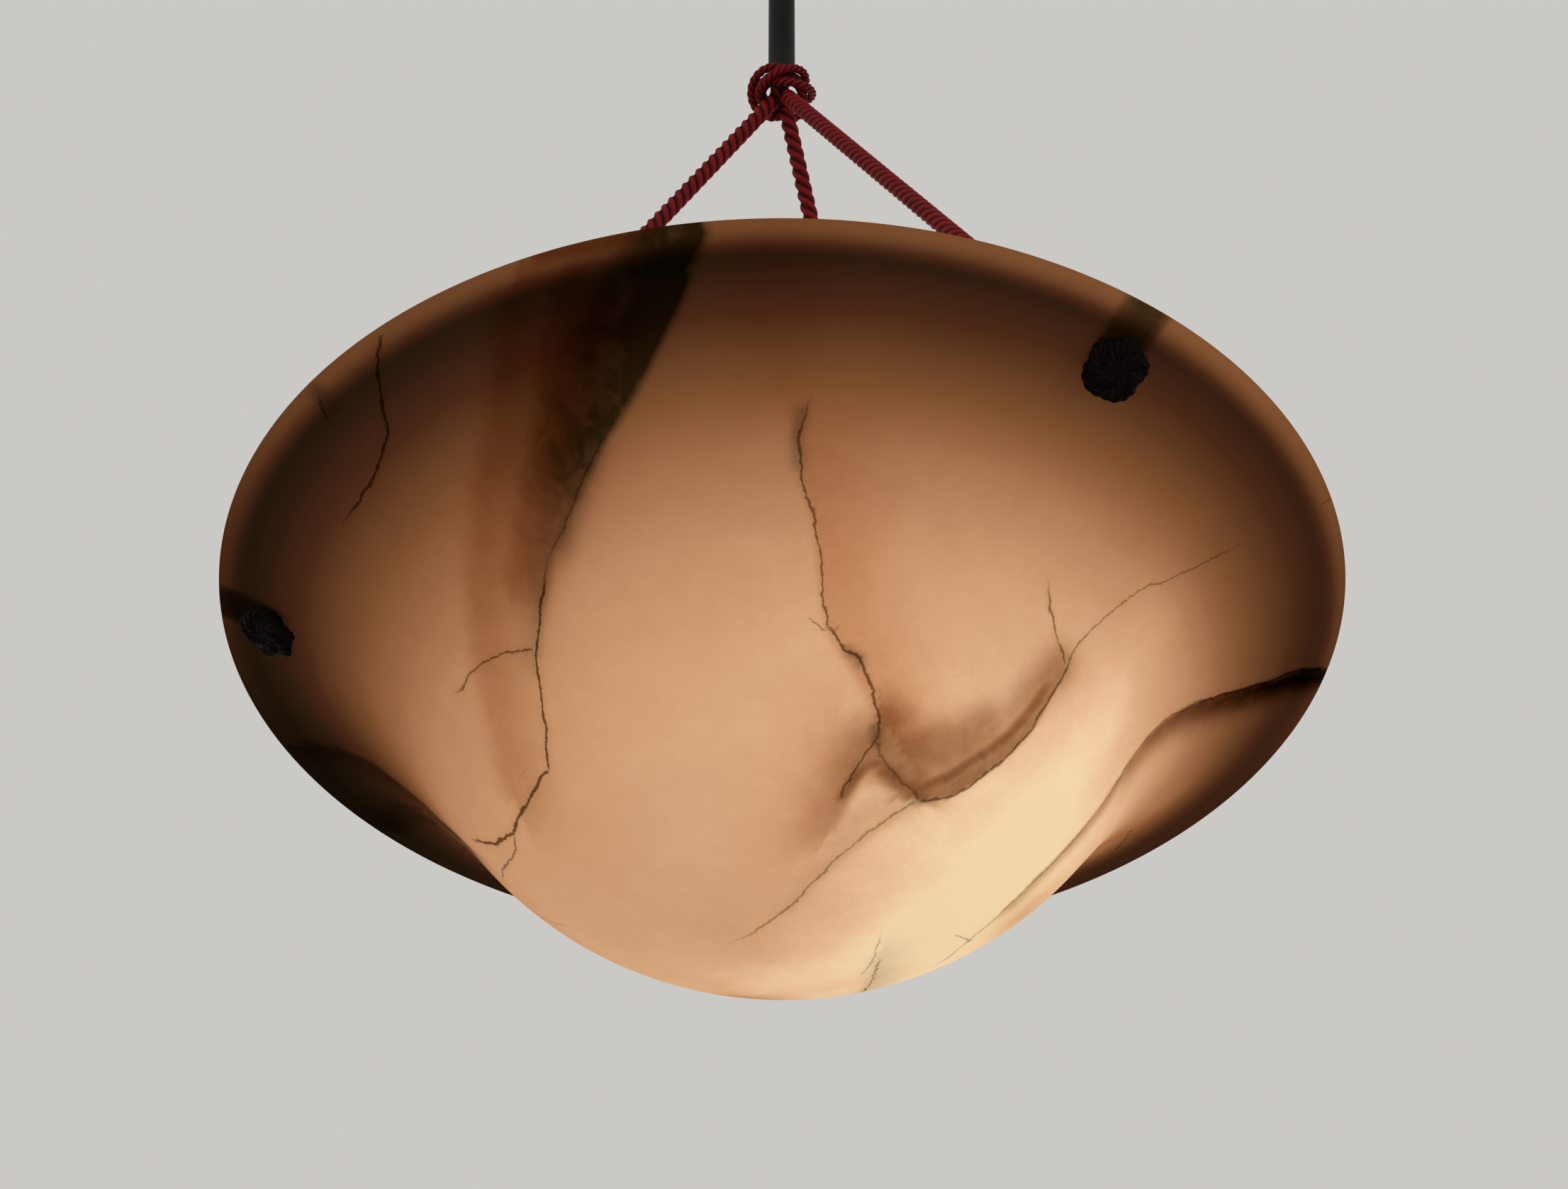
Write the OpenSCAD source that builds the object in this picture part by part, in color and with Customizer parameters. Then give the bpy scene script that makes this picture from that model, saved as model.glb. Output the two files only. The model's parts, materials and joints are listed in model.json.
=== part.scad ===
/* [Drop] */
// Height of the ceiling above the bowl's rim
drop = 430; // [420:5:700]
// Height of the cords' meeting point above the bowl's rim
hub_height = 260; // [220:5:300]

/* [Bowl] */
// Radius of the bowl at its rim
bowl_radius = 175; // [150:1:205]
// Radius of the round belly's outline
belly_radius = 124; // [115:1:140]
// Length of the straight stretch between the belly and the flare
straight_length = 19; // [5:1:30]
// Radius of the outline's outward flare under the rim
flare_radius = 145; // [130:1:165]
// Slope of the outline where it reaches the rim
rim_slope = 21; // [12:1:28]
// Thickness of the stone in the belly
bowl_wall = 9; // [7:0.5:11]
// Thickness of the stone at its rounded rim
rim_wall = 5.5; // [4:0.5:7]

/* [Cords] */
// Diameter of each hanging cord
cord_d = 6; // [4:0.5:7]
// Distance of the cord holes in from the bowl's rim
hole_inset = 19; // [14:1:26]
// Clearance round the cord in its hole
cord_hole_clearance = 0.5; // [0.3:0.1:1]
// Distance from the meeting point to where each cord starts
cord_start = 7.5; // [7.5:0.5:12]
// Diameter of the thinner cord that the knot and the rosettes are worked from
strand_d = 2.8; // [2:0.1:2.9]
// Least mean radius of the big knot under the stem
knot_radius = 9.4; // [9.2:0.1:10.5]
// Least mean radius of a rosette
rosette_radius = 6.9; // [6.6:0.1:8]

/* [Stem] */
// Outer diameter of the stem tube
stem_d = 10; // [9.8:0.1:12]
// Wall of the stem tube
stem_wall = 0.7; // [0.5:0.1:0.8]
// Distance of the stem's top below the ceiling
stem_top = 46; // [46:1:50]
// Distance from the stem's end cap to the cords' meeting point
stem_end_gap = 10; // [10:0.5:14]

/* [Hanging links] */
// Wire diameter of the eye and the tie ring
link_wire_d = 1.8; // [1.4:0.1:1.8]
// Mean radius of the eye under the stem
eye_radius = 2.6; // [2.6:0.1:3]
// Mean radius of the tie ring
tie_ring_radius = 3.4; // [3.4:0.1:3.8]
// Gap between two links that hang in each other
link_gap = 0.05; // [0.03:0.01:0.1]
// Wire diameter of the ceiling hook
hook_wire_d = 5; // [4:0.5:5]
// Mean radius of the ceiling hook's bend
hook_radius = 8; // [8:0.5:9]
// Wire diameter of the shackle
shackle_wire_d = 4; // [3:0.5:4]
// Mean radius of the shackle's bow
shackle_radius = 8; // [8:0.5:9]
// Diameter of the pin through the shackle and the stem
pin_d = 4; // [3:0.5:4]

/* [Ceiling fitting] */
// Radius of the plate on the ceiling
plate_radius = 30; // [27:1:40]
// Thickness of the plate
plate_thickness = 3; // [2:0.5:4]
// Distance between the plate's two screw holes
plate_hole_spacing = 42; // [40:1:44]
// Diameter of the plate's screw holes
plate_hole_d = 5.2; // [4:0.1:6]
// Radius of the canopy at its wide rim
canopy_radius = 58; // [50:1:60]
// Radius of the canopy's flat bottom
canopy_bottom_radius = 12; // [10:1:16]
// Distance of the canopy's bottom below the ceiling
canopy_depth = 80; // [78:1:84]
// Gap between the ceiling and the canopy's rim
canopy_gap = 3; // [2:0.5:4]
// Thickness of the canopy's sheet metal
canopy_wall = 1.2; // [0.8:0.1:2]
// Outer radius of the collar that holds the canopy up
collar_radius = 9; // [8:0.5:11]
// Height of the collar
collar_height = 12; // [10:1:14]

/* [Lamp] */
// Diameter of the flex
flex_d = 2.2; // [1.8:0.1:2.2]
// Radius of the flex's bends
flex_bend = 9; // [9:0.5:10]
// Height of the lamp bridge's middle above the rim
bridge_rise = 24; // [16:1:32]
// Thickness of the bridge's steel strip
bridge_thickness = 2; // [1.5:0.5:2.5]
// Width of the bridge's arms
arm_width = 10; // [8:1:12]
// Outer radius of the lampholder
holder_radius = 19.5; // [18:0.5:22]
// Height of the lampholder's cap
holder_cap_height = 22; // [20:1:26]
// Length of the lampholder's body below its cap
holder_body_length = 26; // [24:1:30]
// Radius of the bulb's screw cap
bulb_cap_radius = 13.1; // [13:0.05:13.2]
// Radius of the bulb's glass
bulb_radius = 22.5; // [20:0.5:24]

/* [Hidden] */

$fn = 48;

// Bearings of the three cords, seen from above
left_bearing = 180;
right_bearing = 300;
back_bearing = 60;

// The ceiling is the plane z = 0, and the rest hangs below it
rim_z = -drop;
hub_z = rim_z + hub_height;
small = 0.01;
running_gap = 0.05;

// Outline of the bowl: a belly arc, a straight stretch and a flare arc that turns the other way.
// The steepest slope is the one that brings the outline's end out to the rim.
outline_end = bowl_radius - rim_wall / 2 * (1 - sin(rim_slope));
slope_reach = norm([belly_radius + flare_radius, straight_length]);
steepest = asin((outline_end + flare_radius * sin(rim_slope)) / slope_reach)
    - atan2(straight_length, belly_radius + flare_radius);
belly_end_r = belly_radius * sin(steepest);
straight_end_r = belly_end_r + straight_length * cos(steepest);
belly_rise = belly_radius * (1 - cos(steepest));
straight_rise = straight_length * sin(steepest);
flare_rise = flare_radius * (cos(rim_slope) - cos(steepest));
bowl_depth = belly_rise + straight_rise + flare_rise;
belly_steps = 20;
flare_steps = 16;
lip_steps = 8;

// A point of the flare at a slope, as radius and height above the rim plane
function flare_point(slope) = [
    straight_end_r + flare_radius * (sin(steepest) - sin(slope)),
    flare_radius * (cos(slope) - cos(rim_slope))
];
// The way into the stone from a point of the outline with a slope
function inward(slope) = [-sin(slope), cos(slope)];
// Thickness of the stone where the flare has a slope
function flare_wall(slope) = rim_wall
    + (bowl_wall - rim_wall) * (slope - rim_slope) / (steepest - rim_slope);

// Where the cord holes leave the bowl's outer face
hole_radius = bowl_radius - hole_inset;
hole_slope = asin(sin(steepest) - (hole_radius - straight_end_r) / flare_radius);
hole_point = flare_point(hole_slope);
hole_wall = flare_wall(hole_slope);
cord_lean = atan2(hole_radius, hub_height - hole_point[1]);
cord_run = norm([hole_radius, hub_height - hole_point[1]]);
cord_r = cord_d / 2;
cord_hole_r = cord_r + cord_hole_clearance;

// Big knot and rosettes, worked as round turk's head knots
strand_r = strand_d / 2;
strand_gap = 0.5;
knot_loops = 3;
knot_bights = 4;
knot_depth = (strand_d + strand_gap) / sqrt(3);
knot_half_height = 4.2;
knot_play = 0.05;
gather_r = cord_d;
knot_ring = max(knot_radius, gather_r + knot_play + strand_r + knot_depth);
rosette_loops = 2;
rosette_bights = 5;
rosette_depth = strand_d / 2 + strand_gap;
rosette_play = 0.3;
rosette_ring = max(rosette_radius, cord_r + rosette_play + strand_r + rosette_depth);
// The rosette clears the stone, which leans a little against it and curves towards its edge
rosette_clearance = 0.1;
rosette_seat = rosette_clearance + rosette_ring * tan(abs(cord_lean - hole_slope))
    + pow(rosette_ring, 2) / (2 * flare_radius);
rosette_centre = cord_run + rosette_depth + strand_r + rosette_seat;
rings_per_loop = 24;
strand_sides = 6;
knot_end_gap = 10;

// Stem, eye, tie ring and gathered cord ends hang in each other below the stem
stem_r = stem_d / 2;
stem_bore_r = stem_r - stem_wall;
flange_thickness = 2;
stem_bottom_z = hub_z + stem_end_gap + flange_thickness;
flange_z = stem_bottom_z - flange_thickness;
plug_length = 8;
link_r = link_wire_d / 2;
link_turn = 45;
eye_z = flange_z - eye_radius + link_r / 2;
eye_pivot_z = eye_z - eye_radius;
tie_ring_z = eye_pivot_z + link_wire_d + link_gap - tie_ring_radius;
ring_pivot_z = tie_ring_z - tie_ring_radius;
bight_r = 1;
bight_radius = 3.2;
bight_z = ring_pivot_z + link_r + bight_r + link_gap - bight_radius;
gather_taper = 1;
gather_drop = 1.4;
knot_drop = 0.5;

// Ceiling hook, shackle and pin
hook_r = hook_wire_d / 2;
boss_r = 7;
boss_height = 8;
hook_nut_height = 4;
hook_nut_r = 6;
hook_shank = 3;
hook_z = -plate_thickness - boss_height - hook_nut_height - hook_shank - hook_radius;
hook_pivot_z = hook_z - hook_radius;
hook_opening = 70;
hook_shoulder_r = hook_r + 0.2;
shackle_r = shackle_wire_d / 2;
shackle_z = hook_pivot_z + hook_r + shackle_r + link_gap - shackle_radius;
shackle_eye_r = 4;
shackle_eye_length = 4;
pin_r = pin_d / 2;
pin_inset = 6;
pin_z = -stem_top - pin_inset;
pin_overhang = 2;
pin_head_height = 2;
pin_nut_height = 3;

// Terminal block under the plate
block_x = -22;
block_length = 14;
block_width = 12;
block_height = 13;
terminal_pitch = 4.4;
terminal_screw_r = 1.5;

// Flex, in the vertical plane of the left cord: x across, then height
flex_r = flex_d / 2;
flex_clearance = 0.15;
flex_offset = -(stem_bore_r - flex_r - running_gap);
flex_side_rise = 10;
flex_side_z = flex_side_rise - canopy_depth;
flex_outlet = [-13.5, flex_side_z + 7];
flex_outlet_lean = atan2(flex_offset - flex_outlet[0], flex_outlet[1] - flex_side_z);
flex_slot_r = flex_r + 0.2;
flex_slot_top_z = flex_side_z + 1.8;
flex_slot_bottom_z = flex_side_z - flex_bend * tan(flex_outlet_lean / 2);
flex_entry_depth = 3;
flex_sides = 8;
bend_steps = 5;
flex_joint_gap = 1.9;
flex_knee_top = eye_pivot_z - 1.5;
flex_lower_top = ring_pivot_z - 0.5;
flex_knee_gap = 0.4;

// Collar under the canopy
collar_top_z = -canopy_depth - 0.05;
collar_bottom_z = collar_top_z - collar_height;
canopy_steps = 20;
collar_screw_r = 1.5;
collar_screw_head_r = 4;

// Lamp bridge: the arms rise from tabs on the bowl's inner face to a round middle
washer_thickness = 1.5;
washer_r = 7.5;
tab_r = 7;
tab_gap = 0.02;
washer_lift = 0.15;
washer_bed = 1;
tab_start = cord_run - hole_wall - washer_lift - washer_thickness - bridge_thickness - tab_gap;
tab_end = tab_start + bridge_thickness;
tab_foot = [tab_end * sin(cord_lean), hub_height - tab_end * cos(cord_lean)];
hub_plate_r = 16;
rivet_radius = 12;
arm_start_radius = 8;
arm_knee_radius = 22;
tab_knee_gap = 3;
arm_inner = [arm_start_radius, bridge_rise + bridge_thickness];
arm_knee = [arm_knee_radius, bridge_rise + bridge_thickness];
arm_tab_knee = [
    tab_foot[0] - (tab_r + tab_knee_gap) * cos(cord_lean),
    tab_foot[1] - (tab_r + tab_knee_gap) * sin(cord_lean)
];
arm_slope = atan2(arm_knee[1] - arm_tab_knee[1], arm_tab_knee[0] - arm_knee[0]);
rivet_r = 1.5;
rivet_head_r = 2.6;
rivet_head_height = 1;

// Lampholder, all heights above the rim plane
nipple_r = 4.95;
nipple_bore_r = 3.2;
nut_r = 8;
nut_height = 4;
holder_top = bridge_rise;
holder_cap_wall = 1.2;
holder_neck_r = 8;
cap_skirt_z = holder_top - holder_cap_height;
body_overlap = 7;
holder_gap = 0.1;
body_r = holder_radius - holder_cap_wall - holder_gap;
body_top = cap_skirt_z + body_overlap;
body_bottom = cap_skirt_z - holder_body_length;
nipple_overhang = 2;
nipple_top = holder_top + 2 * bridge_thickness + nut_height + nipple_overhang;
nipple_bottom = holder_top - holder_cap_wall - nut_height - nipple_overhang / 2;
insert_top = body_top - 1;
insert_height = 9;
insert_r = body_r - holder_cap_wall - holder_gap;
insert_bottom = insert_top - insert_height;
shell_gap = 0.25;
shell_wall = 0.5;
shell_r = bulb_cap_radius + shell_gap + shell_wall;
shell_inset = 2;
shell_bottom = body_bottom + shell_inset;
tongue_thickness = 0.5;
tongue_width = 5;
tongue_drop = 3.2;
contact_z = insert_bottom - tongue_drop;
holder_screw_r = 1.6;
holder_screw_x = 8;

// Bulb, all heights above the rim plane
bulb_cap_overhang = 3;
insulator_height = 3;
bulb_contact_height = 1;
bulb_cap_bottom = body_bottom - bulb_cap_overhang;
bulb_cap_length = contact_z - insulator_height - bulb_contact_height - bulb_cap_bottom;
bulb_neck_r = bulb_cap_radius - 0.6;
bulb_neck_length = 6;
bulb_centre = bulb_cap_bottom - bulb_neck_length - sqrt(pow(bulb_radius, 2) - pow(bulb_neck_r, 2));

// Route of the flex inside the bowl, as distance from the axis and height above the rim plane.
// It leaves the cord, lands on the bridge arm and goes over its middle into the nipple.
flex_exit_inset = 12;
flex_landing_inset = 34;
flex_exit_r = tab_foot[0] - flex_exit_inset;
flex_exit = [flex_exit_r, hub_height - flex_exit_r / tan(cord_lean)];
flex_landing_r = tab_foot[0] - flex_landing_inset;
flex_over_arm = flex_r / cos(arm_slope) + 0.1;
flex_rise_radius = 30;
flex_turn_rise = 12;
// Height of an arm's upper face at a distance from the axis
function arm_height(r) = arm_knee[1] + bridge_thickness - (r - arm_knee[0]) * tan(arm_slope);
flex_landing = [flex_landing_r, arm_height(flex_landing_r) + flex_over_arm];
flex_rise = [flex_rise_radius, arm_height(flex_rise_radius) + flex_over_arm];
flex_turn = [0, nipple_top + flex_turn_rise];
flex_end = [0, insert_top + 1.5];
flex_join = [-flex_offset, hub_height + flex_offset / tan(cord_lean)];
flex_hole_r = flex_r + flex_clearance;
// How far the bend cuts its corner there, and how far that corner is from the meeting point
flex_join_cut = flex_bend * (1 / cos(cord_lean / 2) - 1);
flex_join_run = -flex_offset / sin(cord_lean);
flex_turn_angle = 90 - cord_lean + atan2(flex_exit[1] - flex_landing[1], flex_exit[0] - flex_landing[0]);
flex_leaves = flex_exit_r / sin(cord_lean) - flex_bend * tan((180 - flex_turn_angle) / 2);

// Distance and height of the bowl's places, turned into the left cord's plane
function left_plane(p) = [-p[0], p[1] + rim_z];

flex_top_route = [
    [block_x, -plate_thickness - block_height + flex_entry_depth],
    [block_x, flex_outlet[1] + 5],
    [flex_outlet[0] - flex_joint_gap, flex_outlet[1] + 0.7]
];
flex_stem_route = [
    flex_outlet,
    [flex_offset, flex_side_z],
    [flex_offset, flex_knee_top + flex_knee_gap]
];
flex_lower_route = [
    [flex_offset, flex_lower_top],
    left_plane(flex_join),
    left_plane(flex_exit),
    left_plane(flex_landing),
    left_plane(flex_rise),
    left_plane(flex_turn),
    left_plane(flex_end)
];

black = "#14110f";
silk = "#5a0f12";
steel = "#9a9a98";
brass = "#b08d45";
stone = "#d9b48a";
porcelain = "#ece7da";

// Points of a flat route whose corners are rounded to one radius
function rounded_route(route, bend) =
    let (
        last = len(route) - 1,
        way = [for (i = [0 : last - 1]) (route[i + 1] - route[i]) / norm(route[i + 1] - route[i])]
    )
    concat(
        [route[0]],
        [
            for (i = [1 : 1 : last - 1])
                let (
                    before = way[i - 1],
                    after = way[i],
                    turn = atan2(before[0] * after[1] - before[1] * after[0], before * after),
                    start = route[i] - before * bend * tan(abs(turn) / 2),
                    centre = start + sign(turn) * bend * [-before[1], before[0]],
                    from = atan2(start[1] - centre[1], start[0] - centre[0])
                )
                for (k = [0 : bend_steps])
                    centre + bend * [cos(from + turn * k / bend_steps),
                        sin(from + turn * k / bend_steps)]
        ],
        [route[last]]
    );

// Flex along a route in the left cord's vertical plane
module flex(route) {
    line = [for (p = rounded_route(route, flex_bend)) [p[0], 0, p[1]]];
    tube_along(line, flex_r, flex_sides, [0, 1, 0]);
}

// Ring of round wire that stands upright in the x-z plane
module upright_ring(ring_r, wire_r) {
    rotate([90, 0, 0])
        rotate_extrude()
            translate([ring_r, 0])
                circle(r = wire_r, $fn = 24);
}

// Everything that a cord carries: its child is drawn along -z from the cords' meeting point
module along_cord(bearing) {
    translate([0, 0, hub_z])
        rotate([0, 0, bearing])
            rotate([0, -cord_lean, 0])
                children();
}

// A point of a turk's head knot: it goes round the axis while its section goes round an oval
function knot_point(t, ring_r, deep, high, loops, bights) = [
    (ring_r + deep * cos(bights * t / loops)) * cos(t),
    (ring_r + deep * cos(bights * t / loops)) * sin(t),
    high * sin(bights * t / loops)
];

// Centre line of a knot, from end to end
function knot_line(ring_r, deep, high, loops, bights) = [
    for (i = [0 : loops * rings_per_loop])
        knot_point(
            knot_end_gap + i * (360 * loops - 2 * knot_end_gap) / (loops * rings_per_loop),
            ring_r, deep, high, loops, bights
        )
];

// Least distance between stretches of a line that are more than a quarter turn apart on it
function least_gap(line, strand) = min([
    for (i = [0 : len(line) - 1])
        for (j = [i + rings_per_loop / 4 : 1 : len(line) - 1])
            norm(line[i] - line[j])
]) - strand;

// One unbroken tube along a line that never points along the given way
module tube_along(line, tube_r, sides, across) {
    last = len(line) - 1;
    function ahead(i) = line[min(i + 1, last)] - line[max(i - 1, 0)];
    function unit(v) = v / norm(v);
    function side(i) = unit(cross(ahead(i), across));
    function top(i) = unit(cross(side(i), ahead(i)));
    points = [
        for (i = [0 : last])
            for (j = [0 : sides - 1])
                line[i] + tube_r * (side(i) * cos(360 * j / sides) + top(i) * sin(360 * j / sides))
    ];
    walls = [
        for (i = [0 : last - 1])
            for (j = [0 : sides - 1])
                let (k = (j + 1) % sides, a = i * sides, b = a + sides)
                    each [[a + j, a + k, b + k], [a + j, b + k, b + j]]
    ];
    end = last * sides;
    first_end = [for (j = [1 : sides - 2]) [0, j + 1, j]];
    last_end = [for (j = [1 : sides - 2]) [end, end + j, end + j + 1]];
    polyhedron(points = points, faces = concat(walls, first_end, last_end), convexity = 8);
}

module hex_nut(outer_r, bore_r, height) {
    difference() {
        cylinder(r = outer_r, h = height, $fn = 6);
        translate([0, 0, -1])
            cylinder(r = bore_r, h = height + 2);
    }
}

// Round plate on the ceiling, with a threaded boss for the hook
module ceiling_plate() {
    color(steel) difference() {
        union() {
            translate([0, 0, -plate_thickness])
                cylinder(r = plate_radius, h = plate_thickness);
            translate([0, 0, -plate_thickness - boss_height])
                cylinder(r = boss_r, h = boss_height + 1);
        }
        translate([0, 0, -plate_thickness - boss_height - 1])
            cylinder(r = hook_r + running_gap, h = plate_thickness + boss_height + 2);
        for (side = [-1, 1])
            translate([0, side * plate_hole_spacing / 2, -plate_thickness - 1])
                cylinder(d = plate_hole_d, h = plate_thickness + 2);
    }
}

// Hook with a threaded shank and an almost closed bend
module ceiling_hook() {
    color(steel) union() {
        translate([0, 0, hook_z + hook_radius])
            cylinder(r = hook_r, h = -hook_z - hook_radius - 0.5);
        translate([0, 0, hook_z + hook_radius])
            sphere(r = hook_shoulder_r);
        translate([0, 0, hook_z])
            rotate([0, 0, 90])
                rotate([90, 0, 0])
                    rotate([0, 0, 90 + hook_opening])
                        rotate_extrude(angle = 360 - hook_opening)
                            translate([hook_radius, 0])
                                circle(r = hook_r, $fn = 24);
    }
}

module hook_nut() {
    color(steel)
        translate([0, 0, -plate_thickness - boss_height - hook_nut_height])
            hex_nut(hook_nut_r, hook_r + running_gap, hook_nut_height);
}

// Plastic block for the mains wires, with two clamped ways and one for earth
module terminal_block() {
    color(porcelain) difference() {
        translate([
            block_x - block_width / 2, -block_length / 2, -plate_thickness - block_height
        ])
            cube([block_width, block_length, block_height]);
        for (way = [-1 : 1])
            translate([block_x - block_width / 2 - 1, way * terminal_pitch,
                -plate_thickness - block_height / 2])
                rotate([0, 90, 0])
                    cylinder(r = terminal_screw_r + running_gap, h = 7);
        translate([block_x, 0, -plate_thickness - block_height - 1])
            cylinder(r = flex_r + flex_clearance, h = flex_entry_depth + 2);
    }
}

module terminal_screws() {
    color(brass)
        for (way = [-1 : 1])
            translate([block_x - block_width / 2 + 0.8, way * terminal_pitch,
                -plate_thickness - block_height / 2])
                rotate([0, 90, 0])
                    cylinder(r = terminal_screw_r, h = 5);
}

// Flex from the terminal block to the side of the stem
module flex_top() {
    color(black)
        flex(flex_top_route);
}

// U-shaped shackle that hangs on the hook, with an eye on each leg for the pin
module shackle() {
    color(steel) difference() {
        union() {
            translate([0, 0, shackle_z])
                rotate([90, 0, 0])
                    rotate_extrude(angle = 180)
                        translate([shackle_radius, 0])
                            circle(r = shackle_r, $fn = 24);
            for (side = [-1, 1]) {
                translate([side * shackle_radius, 0, pin_z])
                    cylinder(r = shackle_r, h = shackle_z - pin_z, $fn = 24);
                translate([side * shackle_radius - shackle_eye_length / 2, 0, pin_z])
                    rotate([0, 90, 0])
                        cylinder(r = shackle_eye_r, h = shackle_eye_length);
            }
        }
        translate([-2 * shackle_radius, 0, pin_z])
            rotate([0, 90, 0])
                cylinder(r = pin_r + running_gap, h = 4 * shackle_radius);
    }
}

module shackle_pin() {
    reach = shackle_radius + shackle_eye_length / 2;
    color(steel) union() {
        translate([-reach - running_gap - pin_head_height, 0, pin_z])
            rotate([0, 90, 0])
                cylinder(r = shackle_eye_r - 0.5, h = pin_head_height);
        translate([-reach - running_gap - 1, 0, pin_z])
            rotate([0, 90, 0])
                cylinder(r = pin_r, h = 2 * reach + pin_nut_height + pin_overhang);
    }
}

module pin_nut() {
    color(steel)
        translate([shackle_radius + shackle_eye_length / 2 + running_gap, 0, pin_z])
            rotate([0, 90, 0])
                hex_nut(shackle_eye_r - 0.2, pin_r + running_gap, pin_nut_height);
}

// Black tube with a cross hole for the pin and a slot for the flex
module stem() {
    color(black) difference() {
        translate([0, 0, stem_bottom_z])
            cylinder(r = stem_r, h = -stem_top - stem_bottom_z);
        translate([0, 0, stem_bottom_z - 1])
            cylinder(r = stem_bore_r, h = -stem_top - stem_bottom_z + 2);
        translate([-stem_d, 0, pin_z])
            rotate([0, 90, 0])
                cylinder(r = pin_r + running_gap, h = 2 * stem_d);
        for (end_z = [flex_slot_top_z, flex_slot_bottom_z])
            translate([-stem_d, 0, end_z])
                rotate([0, 90, 0])
                    cylinder(r = flex_slot_r, h = stem_d);
        translate([-stem_d, -flex_slot_r, flex_slot_bottom_z])
            cube([stem_d, 2 * flex_slot_r, flex_slot_top_z - flex_slot_bottom_z]);
    }
}

// End cap of the stem with an eye under it and a groove that lets the flex past
module hanger_eye() {
    color(black) union() {
        difference() {
            union() {
                translate([0, 0, flange_z])
                    cylinder(r = stem_r, h = flange_thickness);
                translate([0, 0, flange_z + flange_thickness / 2])
                    cylinder(r = stem_bore_r - running_gap, h = plug_length);
            }
            translate([flex_offset, 0, flange_z - 1])
                cylinder(r = flex_r + flex_clearance / 2, h = plug_length + flange_thickness + 2);
        }
        difference() {
            translate([0, 0, eye_z])
                rotate([0, 0, link_turn])
                    upright_ring(eye_radius, link_r);
            translate([0, 0, flange_z])
                cylinder(r = 2 * stem_r, h = 4 * eye_radius);
        }
    }
}

module flex_stem() {
    color(black)
        flex(flex_stem_route);
}

// Radius of the canopy's outline at a share of the way from its rim to its bottom
function canopy_outline(share, rim_r, bottom_r) = bottom_r + (rim_r - bottom_r) * cos(90 * share);

// Bell-shaped canopy of thin metal, open at the top
module canopy() {
    height = canopy_depth - canopy_gap;
    outer = [
        for (i = [0 : canopy_steps])
            [canopy_outline(i / canopy_steps, canopy_radius, canopy_bottom_radius),
                -canopy_gap - height * i / canopy_steps]
    ];
    inner = [
        for (i = [canopy_steps : -1 : 0])
            [canopy_outline(i / canopy_steps, canopy_radius - canopy_wall, canopy_bottom_radius),
                -canopy_gap - (height - canopy_wall) * i / canopy_steps]
    ];
    bottom = [
        [stem_r + 0.4, -canopy_depth],
        [stem_r + 0.4, -canopy_depth + canopy_wall]
    ];
    color(black)
        rotate_extrude($fn = 96)
            polygon(concat(outer, bottom, inner));
}

// Sliding collar under the canopy, with a hole for its screw
module canopy_collar() {
    color(black) difference() {
        translate([0, 0, collar_bottom_z])
            cylinder(r = collar_radius, h = collar_height);
        translate([0, 0, collar_bottom_z - 1])
            cylinder(r = stem_r + running_gap, h = collar_height + 2);
        translate([0, 0, collar_bottom_z + collar_height / 2])
            rotate([-90, 0, 0])
                cylinder(r = collar_screw_r + running_gap, h = 2 * collar_radius);
    }
}

// Thumb screw that clamps the collar to the stem
module collar_screw() {
    color(black)
        translate([0, 0, collar_bottom_z + collar_height / 2])
            rotate([-90, 0, 0]) {
                translate([0, 0, stem_r + running_gap])
                    cylinder(r = collar_screw_r, h = collar_radius);
                translate([0, 0, collar_radius + 1])
                    cylinder(r = collar_screw_head_r, h = 5, $fn = 12);
            }
}

// Steel ring that links the stem's eye to the gathered cord ends
module tie_ring() {
    color(steel)
        translate([0, 0, tie_ring_z])
            rotate([0, 0, link_turn + 90])
                upright_ring(tie_ring_radius, link_r);
}

module flex_knee() {
    color(black)
        translate([flex_offset, 0, flex_lower_top + flex_knee_gap])
            cylinder(r = flex_r, h = flex_knee_top - flex_lower_top - flex_knee_gap, $fn = 24);
}

// Space for the flex where it comes down the stem's side and turns into the left cord
module flex_way() {
    translate([flex_offset, 0, rim_z + flex_join[1]]) {
        cylinder(r = flex_hole_r, h = flex_lower_top - rim_z - flex_join[1] + 1);
        sphere(r = flex_hole_r + flex_join_cut);
    }
}

// The cords' gathered ends, with the loop that hangs in the tie ring
module cord_gather() {
    top_z = ring_pivot_z - link_r - gather_drop;
    bottom_z = hub_z - cord_start * cos(cord_lean) + cord_r * sin(cord_lean) + 0.1;
    color(silk) difference() {
        union() {
            translate([0, 0, bight_z])
                rotate([0, 0, link_turn])
                    upright_ring(bight_radius, bight_r);
            translate([0, 0, bottom_z])
                cylinder(r1 = gather_r, r2 = gather_r - gather_taper, h = top_z - bottom_z);
        }
        flex_way();
    }
}

// Round knot worked over the gathered ends
module cord_knot() {
    color(silk)
        translate([0, 0, hub_z - knot_drop])
            tube_along(
                knot_line(knot_ring, knot_depth, knot_half_height, knot_loops, knot_bights),
                strand_r, strand_sides, [0, 0, 1]
            );
}

// One hanging cord, from the gathered ends through the bowl's wall into its rosette
module cord(bearing) {
    tip = rosette_centre + rosette_depth + strand_r - cord_start - cord_r;
    color(silk)
        along_cord(bearing)
            translate([0, 0, -cord_start - tip]) {
                cylinder(r = cord_r, h = tip);
                sphere(r = cord_r);
            }
}

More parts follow.
